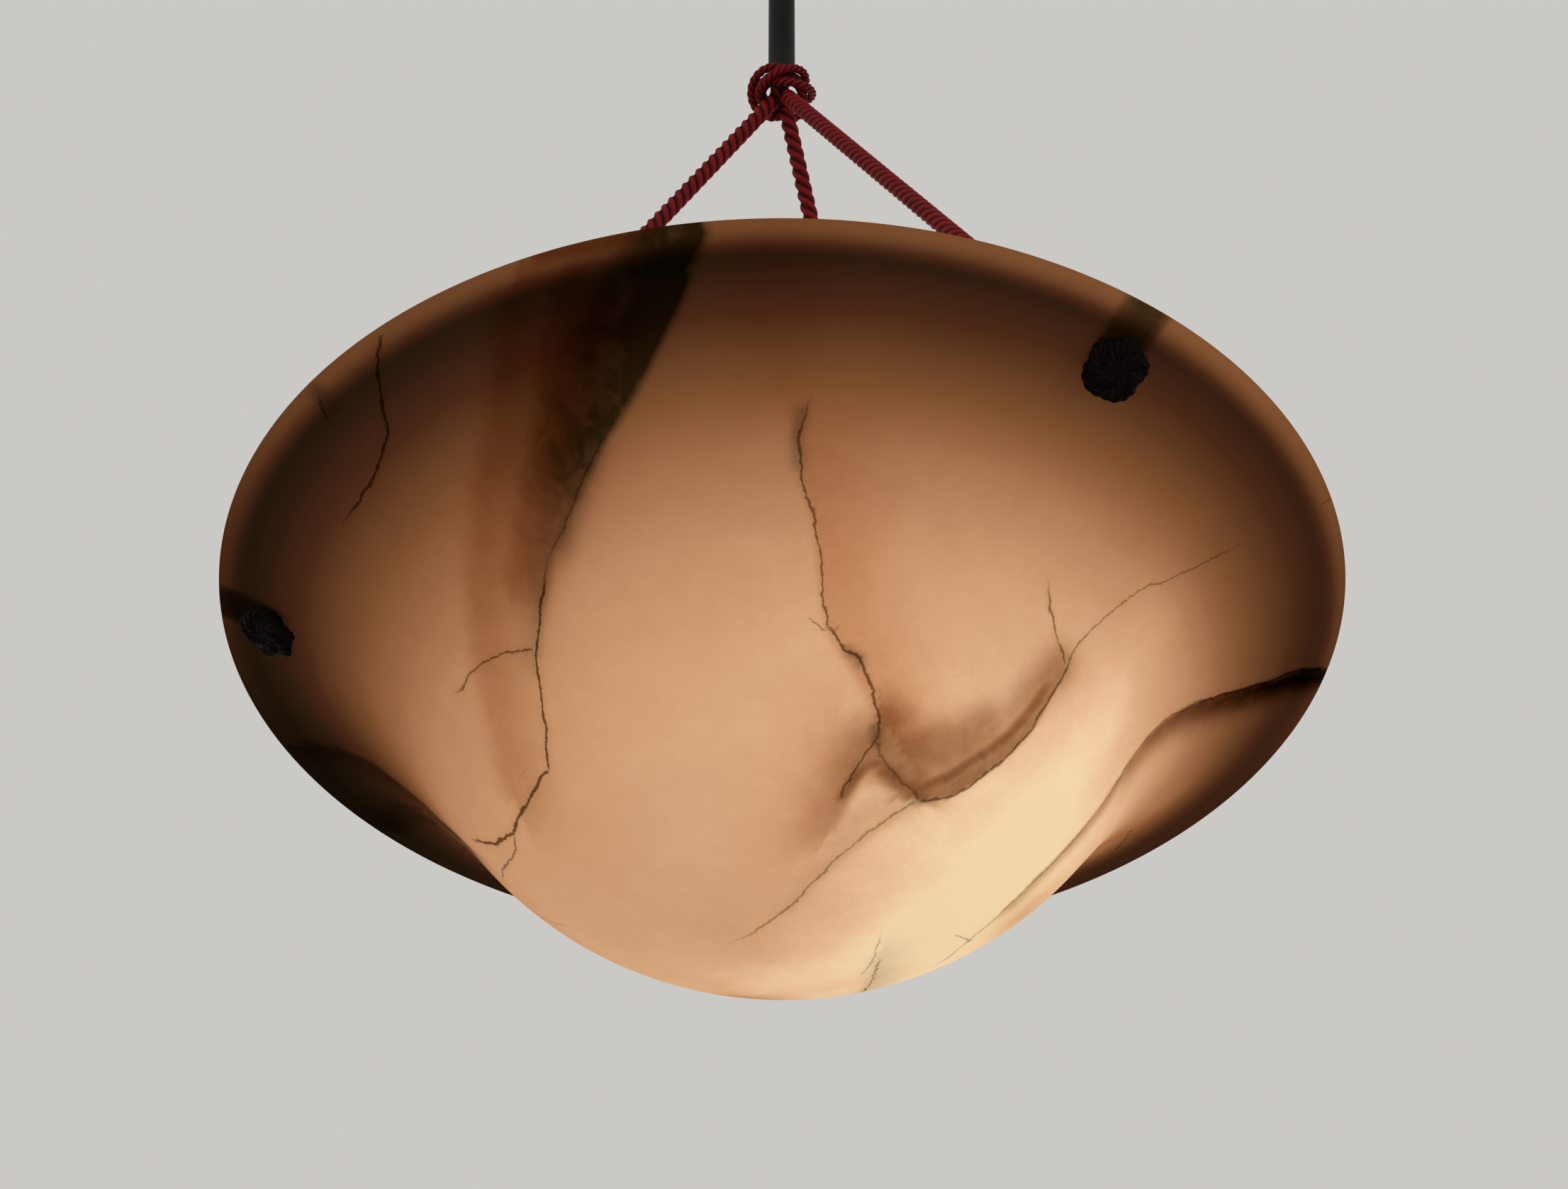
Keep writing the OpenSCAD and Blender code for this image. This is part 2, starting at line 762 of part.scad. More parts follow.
// The left cord is hollow down to where the flex leaves it
module cord_left() {
    color(silk) difference() {
        cord(left_bearing);
        flex_way();
        along_cord(left_bearing) {
            translate([0, 0, -flex_leaves - flex_bend / 2])
                cylinder(r = flex_hole_r, h = flex_leaves - flex_join_run + flex_bend / 2);
            translate([-2 * cord_r, -flex_hole_r, -flex_leaves - flex_bend])
                cube([2 * cord_r, 2 * flex_hole_r, flex_bend]);
        }
    }
}

// Round stopper knot on a cord's end, outside the bowl
module rosette(bearing) {
    color(silk)
        along_cord(bearing)
            translate([0, 0, -rosette_centre])
                tube_along(
                    knot_line(rosette_ring, rosette_depth, rosette_depth, rosette_loops,
                        rosette_bights),
                    strand_r, strand_sides, [0, 0, 1]
                );
}

// Turned body of the bowl: a belly, a flare and a rounded rim, all of stone
module bowl_body() {
    belly_outer = [
        for (i = [0 : belly_steps])
            let (slope = steepest * i / belly_steps)
                [belly_radius * sin(slope), belly_radius * (1 - cos(slope)) - bowl_depth]
    ];
    flare_slopes = [
        for (i = [0 : flare_steps])
            steepest + (rim_slope - steepest) * i / flare_steps
    ];
    flare_outer = [for (slope = flare_slopes) flare_point(slope)];
    lip_centre = flare_point(rim_slope) + inward(rim_slope) * rim_wall / 2;
    lip = [
        for (i = [1 : lip_steps - 1])
            let (angle = rim_slope - 90 + 180 * i / lip_steps)
                lip_centre + rim_wall / 2 * [cos(angle), sin(angle)]
    ];
    flare_inner = [
        for (i = [flare_steps : -1 : 0])
            flare_outer[i] + inward(flare_slopes[i]) * flare_wall(flare_slopes[i])
    ];
    belly_inner = [
        for (i = [belly_steps : -1 : 0])
            belly_outer[i] + inward(steepest * i / belly_steps) * bowl_wall
    ];
    translate([0, 0, rim_z])
        rotate_extrude($fn = 120)
            polygon(concat(belly_outer, flare_outer, lip, flare_inner, belly_inner));
}

// Bowl with its three slanted cord holes
module bowl() {
    color(stone) difference() {
        bowl_body();
        for (bearing = [left_bearing, right_bearing, back_bearing])
            along_cord(bearing)
                translate([0, 0, -cord_run - bowl_wall])
                    cylinder(r = cord_hole_r, h = hole_wall + 2 * bowl_wall);
    }
}

// Soft washers, bedded on the stone under the tabs of the lamp bridge
module hole_washers() {
    color(black)
        for (bearing = [left_bearing, right_bearing, back_bearing])
            difference() {
                along_cord(bearing)
                    translate([0, 0, -cord_run + hole_wall - washer_bed])
                        cylinder(r = washer_r, h = washer_bed + washer_lift + washer_thickness);
                bowl_body();
                along_cord(bearing)
                    translate([0, 0, -cord_run])
                        cylinder(r = cord_hole_r, h = 3 * bowl_wall);
            }
}

// Round middle of the lamp bridge, under the arms' inner ends
module bridge_hub() {
    color(steel) difference() {
        translate([0, 0, rim_z + bridge_rise])
            cylinder(r = hub_plate_r, h = bridge_thickness);
        translate([0, 0, rim_z + bridge_rise - 1])
            cylinder(r = nipple_r + running_gap, h = bridge_thickness + 2);
        for (bearing = [left_bearing, right_bearing, back_bearing])
            rotate([0, 0, bearing])
                translate([rivet_radius, 0, rim_z + bridge_rise - 1])
                    cylinder(r = rivet_r, h = bridge_thickness + 2);
    }
}

// Bent steel strip from the bridge's middle to a tab with an eye for the cord
module bridge_arm(bearing) {
    t = bridge_thickness;
    strip = [
        arm_inner,
        arm_knee,
        arm_tab_knee,
        tab_foot,
        tab_foot + t * [-sin(cord_lean), cos(cord_lean)],
        arm_tab_knee + t * [-sin(cord_lean) / 2, 1],
        arm_knee + [0, t],
        arm_inner + [0, t]
    ];
    color(steel) difference() {
        union() {
            translate([0, 0, rim_z])
                rotate([0, 0, bearing])
                    rotate([90, 0, 0])
                        translate([0, 0, -arm_width / 2])
                            linear_extrude(arm_width)
                                polygon(strip);
            along_cord(bearing)
                translate([0, 0, -tab_end])
                    cylinder(r = tab_r, h = t);
        }
        along_cord(bearing)
            translate([0, 0, -cord_run])
                cylinder(r = cord_hole_r, h = 3 * bowl_wall);
        rotate([0, 0, bearing])
            translate([rivet_radius, 0, rim_z + bridge_rise])
                cylinder(r = rivet_r, h = 4 * t);
    }
}

module bridge_rivets() {
    base = rim_z + bridge_rise;
    color(steel)
        for (bearing = [left_bearing, right_bearing, back_bearing])
            rotate([0, 0, bearing])
                translate([rivet_radius, 0, base]) {
                    translate([0, 0, small])
                        cylinder(r = rivet_r, h = 2 * bridge_thickness);
                    translate([0, 0, 2 * bridge_thickness])
                        cylinder(r = rivet_head_r, h = rivet_head_height);
                }
}

// Hollow threaded rod that holds the lampholder to the bridge
module lampholder_nipple() {
    color(brass)
        translate([0, 0, rim_z + nipple_bottom])
            difference() {
                cylinder(r = nipple_r, h = nipple_top - nipple_bottom);
                translate([0, 0, -1])
                    cylinder(r = nipple_bore_r, h = nipple_top - nipple_bottom + 2);
            }
}

// Nuts above the bridge and inside the lampholder's cap
module nipple_nuts() {
    color(brass) {
        translate([0, 0, rim_z + bridge_rise + bridge_thickness])
            hex_nut(arm_inner[0] - 0.3, nipple_r + running_gap, nut_height);
        translate([0, 0, rim_z + holder_top - holder_cap_wall - nut_height])
            hex_nut(nut_r, nipple_r + running_gap, nut_height);
    }
}

// Domed brass cap of the lampholder, open at the bottom
module lampholder_cap() {
    wall = holder_cap_wall;
    dome = holder_radius - holder_neck_r;
    // Points of a quarter circle round the dome's centre, at a share of the turn
    function shoulder(r, share) = [
        holder_neck_r + r * sin(90 * share),
        holder_top - dome + r * cos(90 * share)
    ];
    outer = [for (i = [0 : lip_steps]) shoulder(dome, i / lip_steps)];
    inner = [for (i = [lip_steps : -1 : 0]) shoulder(dome - wall, i / lip_steps)];
    color(brass)
        translate([0, 0, rim_z])
            rotate_extrude()
                polygon(concat(
                    [[nipple_r + running_gap, holder_top]],
                    outer,
                    [[holder_radius, cap_skirt_z], [holder_radius - wall, cap_skirt_z]],
                    inner,
                    [[nipple_r + running_gap, holder_top - wall]]
                ));
}

module lampholder_body() {
    color(black)
        translate([0, 0, rim_z + body_bottom])
            difference() {
                cylinder(r = body_r, h = body_top - body_bottom);
                translate([0, 0, -1])
                    cylinder(r = body_r - holder_cap_wall, h = body_top - body_bottom + 2);
            }
}

// Porcelain insert that carries the contacts and the screw shell
module lampholder_insert() {
    color(porcelain)
        translate([0, 0, rim_z + insert_bottom])
            difference() {
                cylinder(r = insert_r, h = insert_height);
                for (side = [-1, 1])
                    translate([0, side * holder_screw_x, insert_height - 6])
                        cylinder(r = holder_screw_r + running_gap, h = 7);
            }
}

module screw_shell() {
    color(brass)
        translate([0, 0, rim_z + shell_bottom])
            difference() {
                cylinder(r = shell_r, h = insert_bottom - shell_bottom);
                translate([0, 0, -1])
                    cylinder(r = shell_r - shell_wall, h = insert_bottom - shell_bottom + 2);
            }
}

// Springy brass tongue that presses on the bulb's centre contact
module contact_tongue() {
    tongue_rise = insert_bottom - contact_z;
    color(brass)
        translate([0, tongue_width / 2, rim_z + contact_z])
            rotate([90, 0, 0])
                linear_extrude(tongue_width)
                    polygon([
                        [-3, 0],
                        [3, 0],
                        [9, tongue_rise],
                        [3, tongue_rise],
                        [3, tongue_rise - tongue_thickness],
                        [7.6, tongue_rise - tongue_thickness],
                        [2.8, tongue_thickness],
                        [-3, tongue_thickness]
                    ]);
}

module holder_screws() {
    color(brass)
        for (side = [-1, 1])
            translate([0, side * holder_screw_x, rim_z + insert_top - 5.5]) {
                cylinder(r = holder_screw_r, h = 6.5);
                translate([0, 0, 5.6])
                    cylinder(r = 2.8, h = 1.6);
            }
}

module flex_lower() {
    color(black)
        flex(flex_lower_route);
}

// Screw cap of the bulb
module bulb_cap() {
    color(brass)
        translate([0, 0, rim_z + bulb_cap_bottom])
            cylinder(r = bulb_cap_radius, h = bulb_cap_length);
}

// Dark glass cone between the bulb's cap and its centre contact
module bulb_insulator() {
    color(black)
        translate([0, 0, rim_z + bulb_cap_bottom + bulb_cap_length])
            cylinder(r1 = bulb_cap_radius - 1, r2 = 5, h = insulator_height);
}

module bulb_contact() {
    color(steel)
        translate([0, 0, rim_z + bulb_cap_bottom + bulb_cap_length + insulator_height])
            cylinder(r = 4.5, h = bulb_contact_height - running_gap);
}

// Round glass of the bulb on a short neck
module bulb_glass() {
    color(porcelain)
        translate([0, 0, rim_z]) {
            translate([0, 0, bulb_centre])
                sphere(r = bulb_radius);
            translate([0, 0, bulb_centre])
                cylinder(r = bulb_neck_r, h = bulb_cap_bottom - bulb_centre);
        }
}

echo(knot_gap = least_gap(
    knot_line(knot_ring, knot_depth, knot_half_height, knot_loops, knot_bights), strand_d
));
echo(rosette_gap = least_gap(
    knot_line(rosette_ring, rosette_depth, rosette_depth, rosette_loops, rosette_bights), strand_d
));
echo(bowl_depth = bowl_depth, steepest = steepest, cord_lean = cord_lean, cord_run = cord_run);

ceiling_plate();
ceiling_hook();
hook_nut();
terminal_block();
terminal_screws();
flex_top();
shackle();
shackle_pin();
pin_nut();
stem();
hanger_eye();
flex_stem();
canopy();
canopy_collar();
collar_screw();
tie_ring();
flex_knee();
cord_gather();
cord_knot();
cord_left();
cord(right_bearing);  // cord_right
cord(back_bearing);  // cord_back
rosette(left_bearing);  // rosette_left
rosette(right_bearing);  // rosette_right
rosette(back_bearing);  // rosette_back
bowl();
hole_washers();
bridge_hub();
bridge_arm(left_bearing);  // bridge_arm_left
bridge_arm(right_bearing);  // bridge_arm_right
bridge_arm(back_bearing);  // bridge_arm_back
bridge_rivets();
lampholder_nipple();
nipple_nuts();
lampholder_cap();
lampholder_body();
lampholder_insert();
screw_shell();
contact_tongue();
holder_screws();
flex_lower();
bulb_cap();
bulb_insulator();
bulb_contact();
bulb_glass();
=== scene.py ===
"""Looks of a bowl pendant light, in the part's own frame.

A bowl of veined stone, lit from inside, hangs on three twisted silk cords from a knot under a
slim black stem. Sizes are in millimetres until a mesh is made, and bearings are in degrees
anticlockwise from +X, seen from above.
"""

from __future__ import annotations

import json
import logging
import math
from dataclasses import dataclass, field
from enum import Enum

import bpy
import numpy as np
from mathutils import Matrix

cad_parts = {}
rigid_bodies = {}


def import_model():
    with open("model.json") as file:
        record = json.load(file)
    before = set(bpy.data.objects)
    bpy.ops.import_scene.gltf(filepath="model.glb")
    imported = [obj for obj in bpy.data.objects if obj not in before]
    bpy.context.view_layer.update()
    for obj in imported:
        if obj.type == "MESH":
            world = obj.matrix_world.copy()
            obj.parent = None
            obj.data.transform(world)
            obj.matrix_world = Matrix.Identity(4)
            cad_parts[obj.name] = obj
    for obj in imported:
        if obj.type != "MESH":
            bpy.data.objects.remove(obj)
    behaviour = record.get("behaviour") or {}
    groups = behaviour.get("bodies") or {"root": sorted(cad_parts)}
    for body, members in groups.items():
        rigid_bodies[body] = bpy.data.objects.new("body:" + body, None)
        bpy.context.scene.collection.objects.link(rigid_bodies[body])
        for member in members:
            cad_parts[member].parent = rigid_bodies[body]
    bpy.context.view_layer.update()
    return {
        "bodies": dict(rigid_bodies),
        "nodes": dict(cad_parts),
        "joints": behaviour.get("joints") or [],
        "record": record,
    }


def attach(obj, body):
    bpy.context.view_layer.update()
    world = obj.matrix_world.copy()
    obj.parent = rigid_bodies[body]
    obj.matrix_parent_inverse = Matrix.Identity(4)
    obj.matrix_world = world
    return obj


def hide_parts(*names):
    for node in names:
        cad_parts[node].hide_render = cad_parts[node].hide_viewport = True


log = logging.getLogger("pendant")

Colour = tuple[float, float, float, float]
Points = tuple[tuple[float, float], ...]
Array = np.ndarray
Socket = bpy.types.NodeSocket
MM = 0.001
MM_PER_CM = 10
FULL_TURN = 2 * np.pi
ALONG_Y = np.array([0, 1.0, 0])
UPWARDS = np.array([0, 0, 1.0])

# Shared sizes of the part, as its CAD source has them
RIM_Z = -430.0
HUB_Z = -170.0
CORD_LEAN = math.radians(30.2082)
BEARINGS = {"left": 180.0, "right": 300.0, "back": 60.0}

# A laid cord of unit radius: its strands, where their middles lie, and how deep the grooves go
STRANDS = 3
STRAND_PLACE = 0.45
STRAND_RADIUS = 0.55
GROOVE_RADIUS = 0.64


def srgb(red: float, green: float, blue: float) -> Colour:
    """Linear colour, with full alpha, of three screen values from 0 to 255."""
    shares = [c / 255 for c in (red, green, blue)]
    return (*(s / 12.92 if s < 0.04 else ((s + 0.055) / 1.055) ** 2.4 for s in shares), 1.0)


def unit(vectors: Array) -> Array:
    """Vectors of length one along the last axis."""
    return vectors / np.linalg.norm(vectors, axis=-1, keepdims=True)


def smooth(values: Array, low: float, high: float) -> Array:
    """Smooth step from 0 at low to 1 at high."""
    share = np.clip((values - low) / (high - low), 0, 1)
    return share * share * (3 - 2 * share)


def turn_about_z(points: Array, degrees: float) -> Array:
    """Points turned about the vertical axis by an angle in degrees."""
    c, s = math.cos(math.radians(degrees)), math.sin(math.radians(degrees))
    return points @ np.array([[c, s, 0], [-s, c, 0], [0, 0, 1.0]])


def round_angles(count: int) -> Array:
    """Angles of a full turn in equal steps, without its end."""
    return np.linspace(0, FULL_TURN, count, endpoint=False)


def polar(radius: Array, angle: Array, height: Array) -> Array:
    """Points told by their distance from the vertical axis, angle round it and height."""
    return np.stack([radius * np.cos(angle), radius * np.sin(angle), height + 0 * angle], -1)


# Surfaces


@dataclass
class Surface:
    """A closed surface on a grid: rows run along it and columns run round it.

    Each row is a closed ring of points. The first and last rings are closed by a cap, or
    joined to each other where the surface is a ring itself.
    """

    points: Array
    ring: bool = False
    along: Array | None = None
    fields: dict[str, Array] = field(default_factory=dict)

    def faces(self) -> tuple[Array, Array]:
        """Quads of the grid.

        Returns:
            The four points of each quad, and the row and column of each of its corners.
        """
        rows, columns = self.points.shape[:2]
        spans = rows if self.ring else rows - 1
        row, column = np.meshgrid(np.arange(spans), np.arange(columns), indexing="ij")
        i = np.stack([row, row, row + 1, row + 1], -1).reshape(-1, 4)
        j = np.stack([column, column + 1, column + 1, column], -1).reshape(-1, 4)
        return (i % rows) * columns + j % columns, np.stack([i, j], -1)

    def arrays(self) -> tuple[Array, Array, Array, Array, Array]:
        """Points in metres, quads and triangles, and the maps of their corners.

        The map's first coordinate is the distance along in centimetres, and its second is the
        share of the way round. The faces are turned outwards by the sign of the volume.

        Returns:
            Points, quads and triangles, and the maps of the quads' and the triangles' corners.
        """
        rows, columns = self.points.shape[:2]
        quads, corners = self.faces()
        flat = self.points.reshape(-1, 3) * MM
        along = np.arange(rows) if self.along is None else self.along
        along = np.append(along, 2 * along[-1] - along[-2]) / MM_PER_CM
        quad_map = np.stack([along[corners[..., 0]], corners[..., 1] / columns], -1)
        triangles, triangle_map = np.zeros((0, 3), int), np.zeros((0, 3, 2))
        if not self.ring:
            around = np.arange(columns)
            after = (around + 1) % columns
            last = (rows - 1) * columns
            first_cap = np.stack([after, around, np.full(columns, len(flat))], -1)
            last_cap = np.stack([last + around, last + after, np.full(columns, len(flat) + 1)], -1)
            triangles = np.concatenate([first_cap, last_cap])
            ends = np.array([self.points[0].mean(0), self.points[-1].mean(0)]) * MM
            flat = np.concatenate([flat, ends])
            share = np.stack([around, around + 1, around + 0.5], -1) / columns
            triangle_map = np.concatenate([
                np.stack([np.full((columns, 3), along[row]), share], -1) for row in (0, rows - 1)
            ])
        corner = flat[quads]
        halves = [corner[:, [0, 1, 2]], corner[:, [0, 2, 3]], flat[triangles]]
        volume = sum((h[:, 0] * np.cross(h[:, 1], h[:, 2])).sum() for h in halves)
        if volume < 0:
            quads, triangles = quads[:, ::-1], triangles[:, ::-1]
            quad_map, triangle_map = quad_map[:, ::-1], triangle_map[:, ::-1]
        return flat, quads, triangles, quad_map, triangle_map

    def whole_fields(self) -> dict[str, Array]:
        """Painted values of every point, the caps' middles among them.

        Returns:
            Rows of values by name, one for each point.
        """
        whole = {}
        for label, values in self.fields.items():
            grid = values.reshape(*self.points.shape[:2], -1)
            flat = grid.reshape(-1, grid.shape[-1])
            ends = [] if self.ring else [grid[0].mean(0), grid[-1].mean(0)]
            whole[label] = np.concatenate([flat, *[e[None] for e in ends]])
        return whole


def make_piece(name: str, *surfaces: Surface) -> bpy.types.Object:
    """Makes one mesh object of one or more closed surfaces.

    Args:
        name: Name of the object.
        *surfaces: Its surfaces, which carry the same painted values.

    Returns:
        The new object, linked to the scene.
    """
    parts = [surface.arrays() for surface in surfaces]
    starts = np.cumsum([0] + [len(part[0]) for part in parts[:-1]])
    flat = np.concatenate([part[0] for part in parts])
    quads = np.concatenate([part[1] + start for part, start in zip(parts, starts)])
    triangles = np.concatenate([part[2] + start for part, start in zip(parts, starts)])
    chart = np.concatenate([part[kind].reshape(-1, 2) for kind in (3, 4) for part in parts])
    sizes = np.concatenate([np.full(len(quads), 4), np.full(len(triangles), 3)])
    loops = np.concatenate([quads.ravel(), triangles.ravel()])
    mesh = bpy.data.meshes.new(name)
    mesh.vertices.add(len(flat))
    mesh.vertices.foreach_set("co", flat.astype(np.float32).ravel())
    mesh.loops.add(len(loops))
    mesh.loops.foreach_set("vertex_index", loops.astype(np.int32))
    mesh.polygons.add(len(sizes))
    mesh.polygons.foreach_set("loop_start", (np.cumsum(sizes) - sizes).astype(np.int32))
    mesh.polygons.foreach_set("use_smooth", np.ones(len(sizes), bool))
    mesh.update(calc_edges=True)
    mesh.uv_layers.new(name="UVMap").data.foreach_set("uv", chart.astype(np.float32).ravel())
    painted = [surface.whole_fields() for surface in surfaces]
    for label in painted[0]:
        values = np.concatenate([whole[label] for whole in painted])
        kind, key = ("FLOAT_VECTOR", "vector") if values.shape[1] == 3 else ("FLOAT", "value")
        layer = mesh.attributes.new(label, kind, "POINT")
        layer.data.foreach_set(key, values.astype(np.float32).ravel())
    piece = bpy.data.objects.new(name, mesh)
    bpy.context.scene.collection.objects.link(piece)
    return piece


def lathe(profile: Array, columns: int) -> Array:
    """Grid of a profile of radius and height, carried round the vertical axis."""
    return polar(profile[:, :1], round_angles(columns), profile[:, 1:])


def sweep(line: Array, section: Array, across: Array, closed: bool) -> Array:
    """Grid of a section carried along a line.

    Each ring is the line's point plus the section's radius times the cosine along one side and
    the sine along the other. The first side is square to the way ahead and to a fixed vector
    that the line never follows.

    Args:
        line: Points of the middle line.
        section: Radius by row and column.
        across: The fixed vector.
        closed: Whether the line joins its own start.

    Returns:
        Points by row and column.
    """
    ahead = np.roll(line, -1, 0) - np.roll(line, 1, 0) if closed else np.gradient(line, axis=0)
    ahead = unit(ahead)
    side = unit(np.cross(ahead, across))
    top = np.cross(ahead, side)
    angle = round_angles(section.shape[1])[:, None]
    reach = section[..., None]
    sideways = reach * side[:, None] * np.cos(angle)
    return line[:, None] + sideways + reach * top[:, None] * np.sin(angle)


def lengths_along(line: Array) -> Array:
    """Distance of each point of a line from its start, along the line."""
    return np.append(0, np.cumsum(np.linalg.norm(np.diff(line, axis=0), axis=1)))


def strands(along: Array, columns: int, radius: float, pitch: float) -> Array:
    """Section of a laid cord.

    Each strand is a circle beside the cord's middle. Round the cord, the radius is the far side
    of the nearest strand. The strands turn to the left as they go ahead, which is an S lay.

    Args:
        along: Distance along the cord of each row.
        columns: Points round each row.
        radius: Outer radius of the cord.
        pitch: Distance along for one turn of the strands.

    Returns:
        Radius by row and column.
    """
    turn = round_angles(columns) + FULL_TURN * along[:, None] / pitch
    share = FULL_TURN / STRANDS
    near = np.abs((turn + share / 2) % share - share / 2)
    middle, strand = STRAND_PLACE * radius, STRAND_RADIUS * radius
    return middle * np.cos(near) + np.sqrt(np.maximum(strand**2 - (middle * np.sin(near)) ** 2, 0))


def crowned(section: Array, radius: float) -> dict[str, Array]:
    """Painted value that is 0 in the grooves between strands and 1 on their crowns.

    The silk is darkened by it, as painted shade in the grooves.
    """
    return {"crown": np.clip((section / radius - GROOVE_RADIUS) / (1 - GROOVE_RADIUS), 0, 1)}


def rounded_way(corners: Points, bend: float, steps: int = 12, longest: float = 1.5) -> Array:
    """A flat way of straight stretches whose corners are rounded to one radius.

    Args:
        corners: Distance and height of each corner.
        bend: Radius of the rounding.
        steps: Stretches in each rounding.
        longest: The longest gap between two points.

    Returns:
        Points of the way, in the plane y = 0.
    """
    marks = [np.array(c, float) for c in corners]
    way = [unit(b - a) for a, b in zip(marks[:-1], marks[1:])]
    flat = [marks[0][None]]
    for before, after, corner in zip(way[:-1], way[1:], marks[1:-1]):
        turn = math.atan2(before[0] * after[1] - before[1] * after[0], before @ after)
        start = corner - before * bend * math.tan(abs(turn) / 2)
        centre = start + math.copysign(bend, turn) * np.array([-before[1], before[0]])
        begin = math.atan2(start[1] - centre[1], start[0] - centre[0])
        angle = begin + turn * np.linspace(0, 1, steps + 1)
        flat.append(centre + bend * np.stack([np.cos(angle), np.sin(angle)], -1))
    flat.append(marks[-1][None])
    rough = np.concatenate(flat)
    reach = lengths_along(rough)
    fine = np.unique(np.concatenate([reach, np.arange(0, reach[-1], longest)]))
    x, z = np.interp(fine, reach, rough[:, 0]), np.interp(fine, reach, rough[:, 1])
    return np.stack([x, 0 * x, z], -1)


def hang(name: str, body: str, node: str, slot: str, finish: Finish, *surfaces: Surface) -> None:
    """Makes a finished piece and puts it in its place in the part.

    Args:
        name: Name of the new piece.
        body: The body that it moves with.
        node: The CAD node that it stands for.
        slot: The record's material slot; not used.
        finish: Its finish.
        *surfaces: Its surfaces.
    """
    piece = make_piece(name, *surfaces)
    piece.data.materials.append(finish.material())
    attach(piece, body)
    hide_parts(node)
    log.info("%s: %d vertices, rides on %s", name, len(piece.data.vertices), body)


# Camera and studio


def stand(data: bpy.types.ID, place: Array, axes: Array) -> bpy.types.Object:
    """Adds a camera or a lamp to the scene.

    Args:
        data: The camera or the lamp.
        place: Where it stands, in metres.
        axes: Its right, up and forward directions, as rows.

    Returns:
        The new object.
    """
    right, up, forward = axes
    turned = np.eye(4)
    turned[:3] = np.stack([right, up, -forward, place], -1)
    thing = bpy.data.objects.new(data.name, data)
    thing.matrix_world = Matrix(turned.tolist())
    bpy.context.scene.collection.objects.link(thing)
    return thing


@dataclass(frozen=True)
class PhotoCamera:
    """The camera that fits the photograph, worked out from the bowl's rim and cords.

    The reach is its distance from the rim's middle, and it stands below the rim's plane by an
    angle. It looks off the middle by the tilt and the swing. These angles and the roll are in
    radians, and the turn of the whole about the vertical is in degrees.
    """

    width: int = 2212
    height: int = 1677
    focal: float = 3957.0
    reach: float = 875.0
    below: float = 0.68483
    tilt: float = 0.0141
    swing: float = 0.0008
    roll: float = -0.0016
    turn: float = -5.4
    view_scale: float = 1.106
    sensor_width: float = 36.0
    clip_start: float = 0.02

    def axes(self) -> Array:
        """Which way the camera faces.

        Returns:
            Right, up and forward directions, as rows, in the part's frame.
        """
        rise = self.below + self.tilt
        forward = np.array([
            math.sin(self.swing) * math.cos(rise),
            math.cos(self.swing) * math.cos(rise),
            math.sin(rise),
        ])
        right = unit(np.cross(forward, UPWARDS))
        up = np.cross(right, forward)
        c, s = math.cos(self.roll), math.sin(self.roll)
        axes = np.stack([c * right + s * up, c * up - s * right, forward])
        return turn_about_z(axes, self.turn)

    def place(self) -> Array:
        """Where the camera stands, in millimetres."""
        level, drop = self.reach * math.cos(self.below), self.reach * math.sin(self.below)
        return turn_about_z(np.array([[0, -level, RIM_Z - drop]]), self.turn)[0]

    def rays(self, points: Points) -> Array:
        """Rays from the camera through points of the photograph.

        Args:
            points: Points of the photograph's 2000 pixel view.

        Returns:
            Directions of length one, in the part's frame.
        """
        pixel = np.array(points, float) * self.view_scale
        right, up, forward = self.axes()
        across = (pixel[:, :1] - self.width / 2) / self.focal
        down = (pixel[:, 1:] - self.height / 2) / self.focal
        return unit(forward + across * right - down * up)

    def make(self) -> None:
        """Adds the camera and makes it the scene's own."""
        data = bpy.data.cameras.new("photo_camera")
        data.sensor_width = self.sensor_width
        data.lens = self.focal / self.width * self.sensor_width
        data.clip_start = self.clip_start
        bpy.context.scene.camera = stand(data, self.place() * MM, self.axes())


@dataclass(frozen=True)
class Lamp:
    """A large soft lamp of the studio, in metres and watts."""

    name: str
    place: tuple[float, float, float]
    size: float
    power: float


